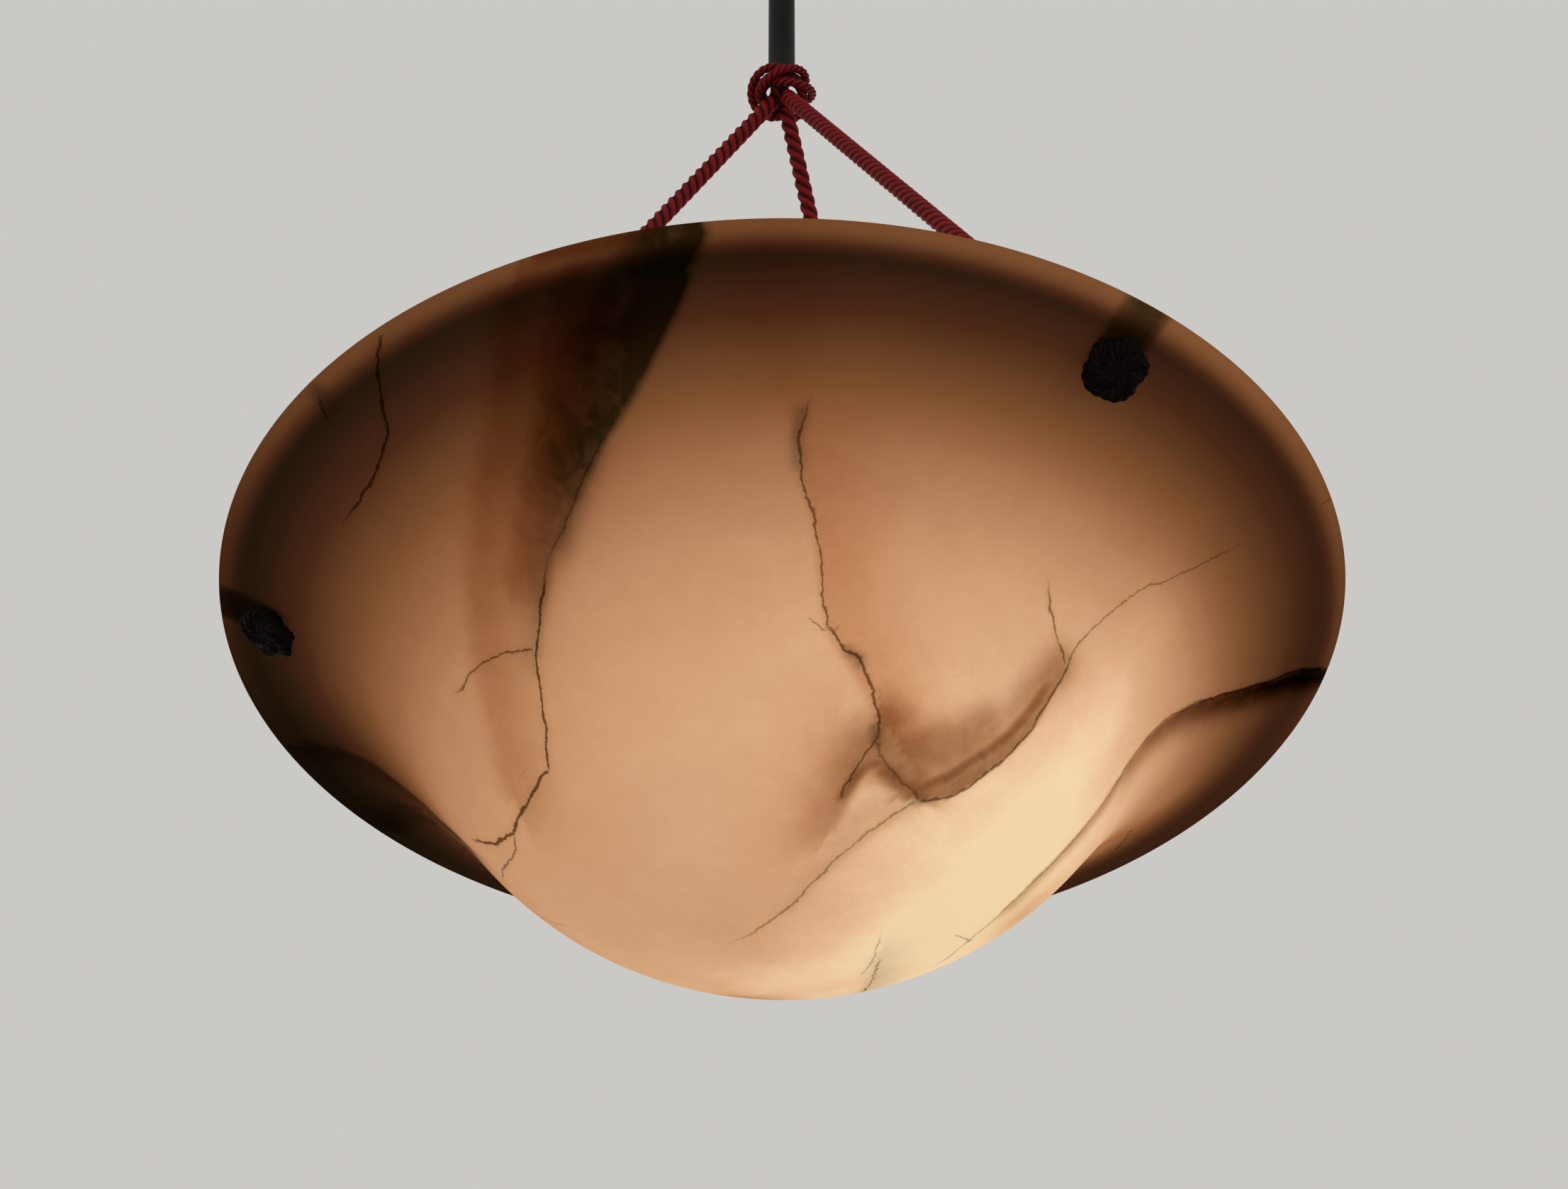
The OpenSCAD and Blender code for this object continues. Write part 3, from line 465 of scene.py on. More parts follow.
@dataclass(frozen=True)
class Studio:
    """Pale surroundings, a pale floor and plain soft light."""

    floor_z: float = -2.2
    floor_half: float = 9.0
    floor_colour: Colour = (0.72, 0.70, 0.67, 1.0)
    floor_roughness: float = 0.9
    world_light: float = 0.62
    world_colour: Colour = (1.0, 0.985, 0.96, 1.0)
    lamp_colour: tuple[float, float, float] = (1.0, 0.97, 0.93)
    aim: tuple[float, float, float] = (0.0, 0.0, -0.35)
    backdrop: Colour = (0.60, 0.585, 0.56, 1.0)
    lamps: tuple[Lamp, ...] = (
        Lamp("key_lamp", (-1.5, -1.7, -0.1), 1.6, 16.0),
        Lamp("fill_lamp", (1.9, -0.9, -0.9), 1.6, 8.0),
        Lamp("back_lamp", (0.4, 1.9, 0.3), 1.4, 8.0),
    )

    def build(self) -> None:
        """Makes the surroundings, the floor and the lamps."""
        self.surround()
        self.lay_floor()
        for lamp in self.lamps:
            self.hang_lamp(lamp)

    def surround(self) -> None:
        """World that is pale to the camera and in reflections, and lights the object evenly."""
        world = bpy.data.worlds.new("studio")
        bpy.context.scene.world = world
        world.use_nodes = True
        wiring = Wiring(world.node_tree)
        world.node_tree.nodes.clear()
        path = wiring.add("ShaderNodeLightPath")
        seen = wiring.math("MAXIMUM", path.outputs["Is Camera Ray"], path.outputs["Is Glossy Ray"])
        seen = wiring.math("MAXIMUM", seen, path.outputs["Is Transmission Ray"])
        inputs = {"Color": self.world_colour, "Strength": self.world_light}
        light = wiring.add("ShaderNodeBackground", inputs)
        shown = wiring.add("ShaderNodeBackground", {"Color": self.backdrop, "Strength": 1.0})
        inputs = {0: seen, 1: light.outputs[0], 2: shown.outputs[0]}
        both = wiring.add("ShaderNodeMixShader", inputs)
        wiring.add("ShaderNodeOutputWorld", {"Surface": both.outputs[0]})

    def lay_floor(self) -> None:
        """Plain pale floor, far below the light."""
        half, z = self.floor_half, self.floor_z
        mesh = bpy.data.meshes.new("studio_floor")
        corners = [(-half, -half, z), (half, -half, z), (half, half, z), (-half, half, z)]
        mesh.from_pydata(corners, [], [(0, 1, 2, 3)])
        floor = bpy.data.objects.new("studio_floor", mesh)
        bpy.context.scene.collection.objects.link(floor)
        paint = bpy.data.materials.new("studio_floor")
        paint.use_nodes = True
        shader = paint.node_tree.nodes["Principled BSDF"]
        inputs = {"Base Color": self.floor_colour, "Roughness": self.floor_roughness}
        Wiring(paint.node_tree).fill(shader, inputs)
        mesh.materials.append(paint)

    def hang_lamp(self, lamp: Lamp) -> None:
        """Adds one square lamp that faces the middle of the object.

        Args:
            lamp: Its name, place, size and power.
        """
        data = bpy.data.lights.new(lamp.name, "AREA")
        data.shape, data.size, data.energy = "SQUARE", lamp.size, lamp.power
        data.color = self.lamp_colour
        forward = unit(np.array(self.aim) - np.array(lamp.place))
        right = unit(np.cross(forward, UPWARDS))
        stand(data, np.array(lamp.place), np.stack([right, np.cross(right, forward), forward]))


# Wiring of materials

VALUE, COLOUR, VECTOR = "NodeSocketFloat", "NodeSocketColor", "NodeSocketVector"


@dataclass(frozen=True)
class Cloud:
    """A cloudy pattern: cells per metre, octaves, the share of each in the last, and twist."""

    scale: object
    detail: float = 3.0
    rough: float = 0.6
    twist: float = 0.0


@dataclass
class Wiring:
    """Short ways to add and join the nodes of one tree."""

    tree: bpy.types.NodeTree

    def fill(self, node: bpy.types.Node, inputs: dict) -> None:
        """Joins outputs of other nodes to a node's inputs, or sets their own values.

        Args:
            node: The node.
            inputs: Values or outputs by the input's name or number.
        """
        for name, value in inputs.items():
            if isinstance(value, Socket):
                self.tree.links.new(value, node.inputs[name])
            else:
                node.inputs[name].default_value = value

    def add(self, kind: str, inputs: dict | None = None, **settings: object) -> bpy.types.Node:
        """Adds a node.

        Args:
            kind: The node's type.
            inputs: Values or outputs by the input's name or number.
            **settings: The node's own settings.

        Returns:
            The new node.
        """
        node = self.tree.nodes.new(kind)
        for name, value in settings.items():
            setattr(node, name, value)
        self.fill(node, inputs or {})
        return node

    def math(self, operation: str, *values: object, clamp: bool = False) -> Socket:
        """Output of a sum, product or other simple operation on up to three values."""
        settings = {"operation": operation, "use_clamp": clamp}
        return self.add("ShaderNodeMath", dict(enumerate(values)), **settings).outputs[0]

    def times(self, first: object, second: object) -> Socket:
        """Product of two values."""
        return self.math("MULTIPLY", first, second)

    def rise(self, start: object, value: object, factor: object, clamp: bool = False) -> Socket:
        """Start plus a value times a factor."""
        return self.math("ADD", start, self.times(value, factor), clamp=clamp)

    def sway(self, pattern: object, reach: object) -> Socket:
        """A pattern round one half, made to sway round zero and multiplied by a reach."""
        return self.times(self.math("SUBTRACT", pattern, 0.5), reach)

    def mix(self, share: object, first: object, second: object, blend: str = "MIX") -> Socket:
        """Colour between two colours, or their product and so on, by a share."""
        inputs = {0: share, 6: first, 7: second}
        return self.add("ShaderNodeMix", inputs, data_type="RGBA", blend_type=blend).outputs[2]

    def span(self, value: object, low: float, high: float, start: float, end: float) -> Socket:
        """Value carried from one range to another, with soft ends."""
        inputs = {"Value": value, "From Min": low, "From Max": high, "To Min": start, "To Max": end}
        return self.add("ShaderNodeMapRange", inputs, interpolation_type="SMOOTHSTEP").outputs[0]

    def noise(self, place: object, cloud: Cloud) -> Socket:
        """Grey value of a cloudy pattern.

        Args:
            place: Where the pattern is looked up.
            cloud: The pattern.

        Returns:
            Value from 0 to 1.
        """
        inputs = {
            "Vector": place, "Scale": cloud.scale, "Detail": cloud.detail, "Roughness": cloud.rough,
            "Distortion": cloud.twist,
        }
        return self.add("ShaderNodeTexNoise", inputs).outputs[0]

    def place(self) -> Socket:
        """Place on the object, in metres."""
        return self.add("ShaderNodeTexCoord").outputs["Object"]

    def painted(self, name: str, vector: bool = False) -> Socket:
        """Value that the mesh carries under a name."""
        output = "Vector" if vector else "Fac"
        return self.add("ShaderNodeAttribute", attribute_name=name).outputs[output]

    def group(self, shared: SharedEffect, inputs: dict) -> bpy.types.Node:
        """Places a shared effect in this tree with its own values."""
        return self.add("ShaderNodeGroup", inputs, node_tree=shared.tree())

    def bump(self, height: Socket, strength: float, depth: float) -> Socket:
        """Normal of a surface raised by a height, with the full depth in metres."""
        inputs = {"Height": height, "Strength": strength, "Distance": depth}
        return self.add("ShaderNodeBump", inputs).outputs[0]

    def dimmed(self, colour: object, share: float) -> Socket:
        """Colour times a plain share."""
        return self.mix(1.0, colour, (share, share, share, 1.0), "MULTIPLY")


class SharedEffect:
    """A node group that is built once and used by several materials."""

    name = "effect"
    wants: dict[str, tuple[str, object]] = {}
    gives: dict[str, str] = {}

    def tree(self) -> bpy.types.NodeTree:
        """The group, built when it is first asked for.

        Returns:
            The group's tree.
        """
        found = bpy.data.node_groups.get(self.name)
        if found:
            return found
        group = bpy.data.node_groups.new(self.name, "ShaderNodeTree")
        for label, (kind, value) in self.wants.items():
            socket = group.interface.new_socket(name=label, in_out="INPUT", socket_type=kind)
            if value is not None:
                socket.default_value = value
        for label, kind in self.gives.items():
            group.interface.new_socket(name=label, in_out="OUTPUT", socket_type=kind)
        wiring = Wiring(group)
        start = wiring.add("NodeGroupInput")
        wiring.add("NodeGroupOutput", self.inside(wiring, start.outputs))
        return group

    def inside(self, wiring: Wiring, given: bpy.types.NodeOutputs) -> dict[str, Socket]:
        """Wires the group.

        Args:
            wiring: Ways to add nodes to the group.
            given: The group's inputs, seen from inside.

        Returns:
            The output that feeds each of the group's outputs.
        """
        raise NotImplementedError


class CrackLine(SharedEffect):
    """Dark thread of a crack, from the painted distance, half width and strength.

    The distance is shifted by a wobble and counted in half widths. The thread fades over its
    edges, and a soft halo goes out to its own reach.
    """

    name = "stone_crack"
    wants = {"Painted": (VECTOR, None), "Wobble": (VALUE, 0.0), "Swell": (VALUE, 1.0)}
    gives = {"Thread": VALUE, "Halo": VALUE}
    least_width = 0.05
    thread_edges = (0.45, 1.35)
    halo_reach = 6.0

    def inside(self, wiring: Wiring, given: bpy.types.NodeOutputs) -> dict[str, Socket]:
        """Thread and halo as products of a falling share and the painted strength.

        Args:
            wiring: Ways to add nodes to the group.
            given: The group's inputs, seen from inside.

        Returns:
            The output that feeds each of the group's outputs.
        """
        parts = wiring.add("ShaderNodeSeparateXYZ", {0: given["Painted"]}).outputs
        off = wiring.math("ABSOLUTE", wiring.math("ADD", parts[0], given["Wobble"]))
        width = wiring.math("MAXIMUM", wiring.times(parts[1], given["Swell"]), self.least_width)
        widths = wiring.math("DIVIDE", off, width)
        return {
            "Thread": wiring.times(wiring.span(widths, *self.thread_edges, 1.0, 0.0), parts[2]),
            "Halo": wiring.times(wiring.span(widths, 0.0, self.halo_reach, 1.0, 0.0), parts[2]),
        }


class Tinted(SharedEffect):
    """An effect that tints a colour by a strength."""

    wants = {"Colour": (COLOUR, None), "Tint": (COLOUR, None), "Strength": (VALUE, 0.0)}
    gives = {"Colour": COLOUR}


class StainedAndShaded(Tinted):
    """Colour darkened towards its product with a tint, over stains, cracks and the cords' painted
    shadows.
    """

    name = "stain"

    def inside(self, wiring: Wiring, given: bpy.types.NodeOutputs) -> dict[str, Socket]:
        """Product of the colour and the tint, mixed in by the strength.

        Args:
            wiring: Ways to add nodes to the group.
            given: The group's inputs, seen from inside.

        Returns:
            The output that feeds each of the group's outputs.
        """
        product = wiring.mix(1.0, given["Colour"], given["Tint"], "MULTIPLY")
        share = wiring.math("MAXIMUM", wiring.math("MINIMUM", given["Strength"], 1.0), 0.0)
        return {"Colour": wiring.mix(share, given["Colour"], product)}


class Steeped(Tinted):
    """Colour times a tint raised to the strength, as light that goes through a tinted depth."""

    name = "steeped"

    def inside(self, wiring: Wiring, given: bpy.types.NodeOutputs) -> dict[str, Socket]:
        """Each channel of the tint is raised to the strength on its own.

        Args:
            wiring: Ways to add nodes to the group.
            given: The group's inputs, seen from inside.

        Returns:
            The output that feeds each of the group's outputs.
        """
        parts = wiring.add("ShaderNodeSeparateColor", {0: given["Tint"]}).outputs
        powers = {i: wiring.math("POWER", parts[i], given["Strength"]) for i in range(3)}
        passed = wiring.add("ShaderNodeCombineColor", powers).outputs[0]
        return {"Colour": wiring.mix(1.0, given["Colour"], passed, "MULTIPLY")}


class HandledSurface(SharedEffect):
    """Uneven gloss, fine pitting and a little settled dust of a handled surface."""

    name = "handled_surface"
    wants = {
        "Place": (VECTOR, None), "Colour": (COLOUR, None), "Dust": (COLOUR, None),
        "Dustiness": (VALUE, 0.1), "Gloss": (VALUE, 0.4), "Spread": (VALUE, 0.1),
        "Grain": (VALUE, 900.0),
    }
    gives = {"Colour": COLOUR, "Roughness": VALUE, "Height": VALUE}
    broad = Cloud(55.0, 4.0)
    dust_edges = (0.45, 0.75)
    speckle = 0.25
    gloss_gain = 2.0

    def inside(self, wiring: Wiring, given: bpy.types.NodeOutputs) -> dict[str, Socket]:
        """Broad clouds drive the gloss and dust, and a fine grain drives the height.

        Args:
            wiring: Ways to add nodes to the group.
            given: The group's inputs, seen from inside.

        Returns:
            The output that feeds each of the group's outputs.
        """
        broad = wiring.noise(given["Place"], self.broad)
        fine = wiring.noise(given["Place"], Cloud(given["Grain"], 2.0, 0.5))
        dusty = wiring.times(wiring.span(broad, *self.dust_edges, 0.0, 1.0), given["Dustiness"])
        shade = wiring.math("ADD", 1.0, wiring.sway(fine, self.speckle))
        tone = wiring.add("ShaderNodeCombineColor", {0: shade, 1: shade, 2: shade}).outputs[0]
        dusted = wiring.mix(dusty, given["Colour"], given["Dust"])
        return {
            "Colour": wiring.mix(1.0, dusted, tone, "MULTIPLY"),
            "Roughness": wiring.rise(
                given["Gloss"], wiring.sway(broad, given["Spread"]), self.gloss_gain, clamp=True
            ),
            "Height": fine,
        }


class FineYarn(SharedEffect):
    """Fine yarns on a laid or braided cord, from its own map.

    The height is the sine of the way round times the yarn count plus the way along times the
    slope. The tone falls between the yarns, as painted shade.
    """

    name = "fine_yarn"
    wants = {
        "Map": (VECTOR, None), "Place": (VECTOR, None), "Yarns": (VALUE, 18.0),
        "Slope": (VALUE, 6.0), "Cross": (VALUE, 0.0),
    }
    gives = {"Tone": VALUE, "Height": VALUE}
    loose = Cloud(420.0)
    tone = 0.72
    tone_by_height = 0.16
    tone_by_looseness = 0.34

    def inside(self, wiring: Wiring, given: bpy.types.NodeOutputs) -> dict[str, Socket]:
        """Two sets of yarns, of which the crossing one is used as far as it is asked for.

        Args:
            wiring: Ways to add nodes to the group.
            given: The group's inputs, seen from inside.

        Returns:
            The output that feeds each of the group's outputs.
        """
        parts = wiring.add("ShaderNodeSeparateXYZ", {0: given["Map"]}).outputs
        around = wiring.times(wiring.times(parts[1], given["Yarns"]), FULL_TURN)
        ahead = wiring.times(wiring.times(parts[0], given["Slope"]), FULL_TURN)
        one = wiring.math("SINE", wiring.math("ADD", around, ahead))
        two = wiring.math("SINE", wiring.math("SUBTRACT", around, ahead))
        both = wiring.times(wiring.times(one, two), given["Cross"])
        height = wiring.rise(both, one, wiring.math("SUBTRACT", 1.0, given["Cross"]))
        loose = wiring.noise(given["Place"], self.loose)
        # Painted shade: the tone is lower where the yarns dip.
        tone = wiring.rise(self.tone, height, self.tone_by_height)
        return {
            "Tone": wiring.rise(tone, loose, self.tone_by_looseness),
            "Height": wiring.math("ADD", height, loose),
        }


# Finishes


class Finish:
    """A material of the object, made when it is first asked for."""

    name: str

    def material(self) -> bpy.types.Material:
        """The material of this finish.

        Returns:
            The material, made when it is first asked for.
        """
        label = f"{self.name}_finish"
        found = bpy.data.materials.get(label)
        if found:
            return found
        material = bpy.data.materials.new(label)
        material.use_nodes = True
        material.node_tree.nodes.clear()
        wiring = Wiring(material.node_tree)
        shader = wiring.add("ShaderNodeBsdfPrincipled")
        wiring.add("ShaderNodeOutputMaterial", {"Surface": shader.outputs[0]})
        self.wire(wiring, shader)
        return material

    def wire(self, wiring: Wiring, shader: bpy.types.Node) -> None:
        """Feeds the shader.

        Args:
            wiring: Ways to add nodes to the material.
            shader: The material's shader.
        """
        raise NotImplementedError


@dataclass(frozen=True)
class StoneFinish(Finish):
    """Polished veined stone, lit from inside.

    The mesh carries how bright each place glows, its stains, the cords' painted shadows and its
    cracks. The glow is painted light: its colour, stained and cracked, is the emission, and a share
    of it is the base colour, so that the base colour carries the painted light and shade as well.
    """

    name: str = "stone"
    base_share_of_glow: float = 0.33
    glow: float = 0.69
    ramp: tuple[tuple[float, tuple[int, int, int]], ...] = (
        (0.00, (3, 2, 1)), (0.04, (10, 7, 3)), (0.13, (34, 22, 10)), (0.20, (52, 30, 17)),
        (0.30, (78, 43, 25)), (0.40, (105, 65, 38)), (0.50, (128, 82, 48)), (0.60, (155, 102, 68)),
        (0.70, (181, 127, 90)), (0.80, (208, 154, 112)), (0.90, (230, 180, 138)),
        (0.95, (246, 202, 160)), (1.00, (255, 224, 180)),
    )
    # Tint of the smoky veins, and of the cords' painted shadows.
    smoke_and_cord_shadow: Colour = (0.12, 0.15, 0.12, 1.0)
    rust: Colour = (0.50, 0.335, 0.225, 1.0)
    rose: Colour = (0.74, 0.55, 0.43, 1.0)
    umber: Colour = (0.42, 0.29, 0.215, 1.0)
    crack: Colour = (0.25, 0.20, 0.125, 1.0)
    clouds: Cloud = Cloud(34.0, 4.0, 0.55, 0.6)
    mottle: Cloud = Cloud(160.0, 4.0)
    grain: Cloud = Cloud(900.0, 2.0, 0.5)
    unevenness: tuple[float, float, float] = (0.06, 0.04, 0.03)
    ragged: Cloud = Cloud(120.0, 5.0, 0.65, 0.8)
    ragged_levels: tuple[float, float] = (0.62, 0.76)
    slow_wobble: Cloud = Cloud(130.0)
    quick_wobble: Cloud = Cloud(620.0, 2.0)
    wobble_reach: tuple[float, float] = (3.2, 1.3)
    swell: Cloud = Cloud(210.0, 3.0, 0.7)
    swell_levels: tuple[float, float] = (0.35, 1.3)
    halo: float = 0.12
    rough: float = 0.36
    rough_by_mottle: float = 0.14
    raised: float = 0.12
    depth: float = 0.0004

    def wire(self, wiring: Wiring, shader: bpy.types.Node) -> None:
        """Glow to colour, then the stains, then the cracks.

        Args:
            wiring: Ways to add nodes to the material.
            shader: The material's shader.
        """
        place = wiring.place()
        patterns = [wiring.noise(place, cloud) for cloud in (self.clouds, self.mottle, self.grain)]
        level = wiring.math("ADD", wiring.painted("glow"), wiring.painted("light"))
        for pattern, reach in zip(patterns, self.unevenness):
            level = wiring.times(level, wiring.math("ADD", 1.0, wiring.sway(pattern, reach)))
        colour = self.stained(wiring, place, self.ramped(wiring, level))
        colour = self.cracked(wiring, place, colour)
        mottle, grain = patterns[1:]
        # The base colour is a share of the glow's colour, so the painted light and shade are in it
        # too.
        wiring.fill(shader, {
            "Base Color": wiring.dimmed(colour, self.base_share_of_glow),
            "Emission Color": colour,
            "Emission Strength": self.glow,
            "Specular IOR Level": 0.0,
            "Roughness": wiring.rise(self.rough, mottle, self.rough_by_mottle),
            "Normal": wiring.bump(wiring.math("ADD", mottle, grain), self.raised, self.depth),
        })

    def ramped(self, wiring: Wiring, level: Socket) -> Socket:
        """Colour of a glow's level.

        Args:
            wiring: Ways to add nodes to the material.
            level: How brightly the stone glows.

        Returns:
            The colour's output.
        """
        ramp = wiring.add("ShaderNodeValToRGB", {0: level})
        stops = ramp.color_ramp.elements
        for position, screen in self.ramp[1:-1]:
            stops.new(position).color = srgb(*screen)
        stops[0].color = srgb(*self.ramp[0][1])
        stops[-1].color = srgb(*self.ramp[-1][1])
        return ramp.outputs[0]

    def stained(self, wiring: Wiring, place: object, colour: object) -> Socket:
        """Colour with the painted stains and the cords' painted shadows, which a ragged pattern
        breaks up.

        Args:
            wiring: Ways to add nodes to the material.
            place: Place on the object.
            colour: Colour of the clean stone.

        Returns:
            The stained colour's output.
        """
        ragged = wiring.noise(place, self.ragged)
        ragged = wiring.rise(self.ragged_levels[0], ragged, self.ragged_levels[1])
        # The smoke layer also carries the cords' painted shadows.
        for stain in (StainAndLight.ROSE, StainAndLight.RUST, StainAndLight.UMBER, StainAndLight.SMOKE):
            effect = StainedAndShaded() if stain is StainAndLight.SMOKE else Steeped()
            colour = wiring.group(effect, {
                "Colour": colour,
                "Tint": getattr(self, stain.value),
                "Strength": wiring.times(wiring.painted(stain.value), ragged),
            }).outputs[0]
        return colour

    def cracked(self, wiring: Wiring, place: object, colour: object) -> Socket:
        """Colour with the painted cracks, which wobble and swell.

        Args:
            wiring: Ways to add nodes to the material.
            place: Place on the object.
            colour: Colour of the stone between the cracks.

        Returns:
            The cracked colour's output.
        """
        slow, quick = (
            wiring.sway(wiring.noise(place, cloud), reach)
            for cloud, reach in zip((self.slow_wobble, self.quick_wobble), self.wobble_reach)
        )
        wobble = wiring.math("ADD", slow, quick)
        least, gain = self.swell_levels
        swell = wiring.rise(least, wiring.noise(place, self.swell), gain)
        for channel in Channel:
            painted = wiring.painted(channel.value, vector=True)
            line = wiring.group(CrackLine(), {"Painted": painted, "Wobble": wobble, "Swell": swell})
            dark = wiring.rise(line.outputs["Thread"], line.outputs["Halo"], self.halo, clamp=True)
            inputs = {"Colour": colour, "Tint": self.crack, "Strength": dark}
            colour = wiring.group(StainedAndShaded(), inputs).outputs[0]
        return colour


@dataclass(frozen=True)
class SilkFinish(Finish):
    """Twisted or braided silk with a soft sheen."""

    name: str
    deep: Colour
    bright: Colour
    yarns: float = 27.0
    slope: float = 0.4
    cross: float = 0.0
    sheen: float = 0.06
    shine: float = 0.12
    worn: Cloud = Cloud(70.0)
    worn_levels: tuple[float, float] = (0.55, 0.6)
    groove_shade: float = 0.05
    crown_edges: tuple[float, float] = (0.1, 1.0)
    rough: float = 0.66
    rough_by_share: float = -0.2
    sheen_roughness: float = 0.4
    raised: float = 0.35
    depth: float = 0.0002

    def wire(self, wiring: Wiring, shader: bpy.types.Node) -> None:
        """Painted shade between the yarns and in the grooves darkens the colour, and the yarns
        raise the surface.

        Args:
            wiring: Ways to add nodes to the material.
            shader: The material's shader.
        """
        place = wiring.place()
        yarn = wiring.group(FineYarn(), {
            "Map": wiring.add("ShaderNodeTexCoord").outputs["UV"], "Place": place,
            "Yarns": self.yarns, "Slope": self.slope, "Cross": self.cross,
        })
        worn = wiring.rise(self.worn_levels[0], wiring.noise(place, self.worn), self.worn_levels[1])
        # Painted shade: the crown value darkens the grooves between strands, and the cores inside
        # the knots.
        crown = wiring.span(wiring.painted("crown"), *self.crown_edges, self.groove_shade, 1.0)
        share = wiring.math("MULTIPLY", wiring.times(yarn.outputs["Tone"], worn), crown, clamp=True)
        wiring.fill(shader, {
            "Base Color": wiring.mix(share, self.deep, self.bright),
            "Roughness": wiring.rise(self.rough, share, self.rough_by_share),
            "Specular IOR Level": self.shine,
            "Sheen Weight": self.sheen,
            "Sheen Roughness": self.sheen_roughness,
            "Sheen Tint": self.bright,
            "Normal": wiring.bump(yarn.outputs["Height"], self.raised, self.depth),
        })


@dataclass(frozen=True)
class SolidFinish(Finish):
    """Metal, lacquer, moulded or fired material with uneven gloss and a little dust."""

    name: str
    colour: Colour
    metal: float = 0.0
    gloss: float = 0.4
    spread: float = 0.1
    dust: Colour = (0.25, 0.22, 0.18, 1.0)
    dustiness: float = 0.1
    grain: float = 900.0
    raised: float = 0.1
    coat: float = 0.0
    shine: float = 0.5
    depth: float = 0.0001

    def wire(self, wiring: Wiring, shader: bpy.types.Node) -> None:
        """The handled surface drives colour, gloss and height.

        Args:
            wiring: Ways to add nodes to the material.
            shader: The material's shader.
        """
        handled = wiring.group(HandledSurface(), {
            "Place": wiring.place(), "Colour": self.colour, "Dust": self.dust,
            "Dustiness": self.dustiness, "Gloss": self.gloss, "Spread": self.spread,
            "Grain": self.grain,
        }).outputs
        wiring.fill(shader, {
            "Base Color": handled["Colour"],
            "Roughness": handled["Roughness"],
            "Metallic": self.metal,
            "Coat Weight": self.coat,
            "Specular IOR Level": self.shine,
            "Normal": wiring.bump(handled["Height"], self.raised, self.depth),
        })


@dataclass(frozen=True)
class LitGlassFinish(Finish):
    """Frosted white glass of a lit bulb, a little dimmer towards its neck."""

    name: str = "opal_glass"
    warm: Colour = (0.80, 0.50, 0.25, 1.0)
    pale: Colour = (1.0, 0.93, 0.80, 1.0)
    base_share_of_glow: float = 0.25
    glow: float = 0.95
    neck_z: float = -0.456
    middle_z: float = -0.484
    frost: Cloud = Cloud(260.0)
    frost_reach: float = 0.2
    rough: float = 0.35

    def wire(self, wiring: Wiring, shader: bpy.types.Node) -> None:
        """The glow goes from warm and dim at the neck to pale below, with faint clouds of frost.

        Args:
            wiring: Ways to add nodes to the material.
            shader: The material's shader.
        """
        place = wiring.place()
        height = wiring.add("ShaderNodeSeparateXYZ", {0: place}).outputs[2]
        share = wiring.span(height, self.middle_z, self.neck_z, 0.0, 1.0)
        frost = wiring.sway(wiring.noise(place, self.frost), self.frost_reach)
        colour = wiring.mix(wiring.math("ADD", share, frost, clamp=True), self.pale, self.warm)
        wiring.fill(shader, {
            "Base Color": wiring.dimmed(colour, self.base_share_of_glow),
            "Emission Color": colour,
            "Emission Strength": self.glow,
            "Roughness": self.rough,
        })


BRIGHT_SILK = SilkFinish("silk_cord", srgb(12, 2, 3), srgb(138, 8, 17))
# Shaded copy of the cord's silk, nearly black, for the rosettes: painted shade.
SHADED_SILK = SilkFinish(
    "shaded_silk_rosette", srgb(4, 3, 3), srgb(20, 6, 6), yarns=21.0, sheen=0.0, shine=0.04
)
FLEX_SLEEVE = SilkFinish(
    "flex_sleeve", srgb(22, 4, 6), srgb(84, 14, 20), yarns=12.0, slope=7.0, cross=1.0
)
SPUN_ENAMEL = SolidFinish(
    "spun_enamel", srgb(15, 14, 14), gloss=0.34, dustiness=0.05, raised=0.06, coat=0.12, shine=0.4
)
STONE = StoneFinish()
LIT_GLASS = LitGlassFinish()
SOLIDS = {finish.name: finish for finish in (
    SolidFinish("black_metal", srgb(13, 12, 12), gloss=0.5, spread=0.12, dustiness=0.02, shine=0.1),
    SolidFinish(
        "steel", srgb(168, 168, 164), metal=1.0, gloss=0.42, spread=0.2, dustiness=0.12,
        grain=600.0, raised=0.2,
    ),
    SolidFinish(
        "bridge_steel", srgb(176, 172, 164), metal=1.0, gloss=0.32, spread=0.18, grain=1400.0,
        raised=0.25,
    ),
    SolidFinish(
        "brass", srgb(188, 148, 82), metal=1.0, gloss=0.3, spread=0.2, dust=srgb(96, 66, 34),
        dustiness=0.35, grain=1100.0,
    ),
    SolidFinish("nickel", srgb(190, 186, 178), metal=1.0, gloss=0.2, spread=0.12, dustiness=0.08),
    SolidFinish(
        "porcelain", srgb(232, 226, 212), gloss=0.14, spread=0.05, dustiness=0.06, raised=0.03,
        coat=0.4,
    ),
    SolidFinish("white_plastic", srgb(214, 208, 194), gloss=0.5, dustiness=0.14, raised=0.15),
    SolidFinish("black_plastic", srgb(30, 28, 27), gloss=0.42, dustiness=0.16, raised=0.2),
    SolidFinish(
        "dark_glass", srgb(22, 16, 18), gloss=0.1, spread=0.04, dustiness=0.04, raised=0.02,
        coat=0.5,
    ),
    SolidFinish("washer_rubber", srgb(36, 32, 29), gloss=0.75, dustiness=0.22, raised=0.3),
)}


# Bowl


class StainAndLight(Enum):
    """What a painted band does to the stone. The light kind is painted light on the glow, and the
    others are stains.
    """

    SMOKE = "smoke_and_cord_shadow"
    RUST = "rust"
    ROSE = "rose"
    UMBER = "umber"
    LIGHT = "light"


class Channel(Enum):
    """The painted layers of cracks. Cracks that meet are kept in different ones."""

    A = "crack_a"
    B = "crack_b"
    C = "crack_c"


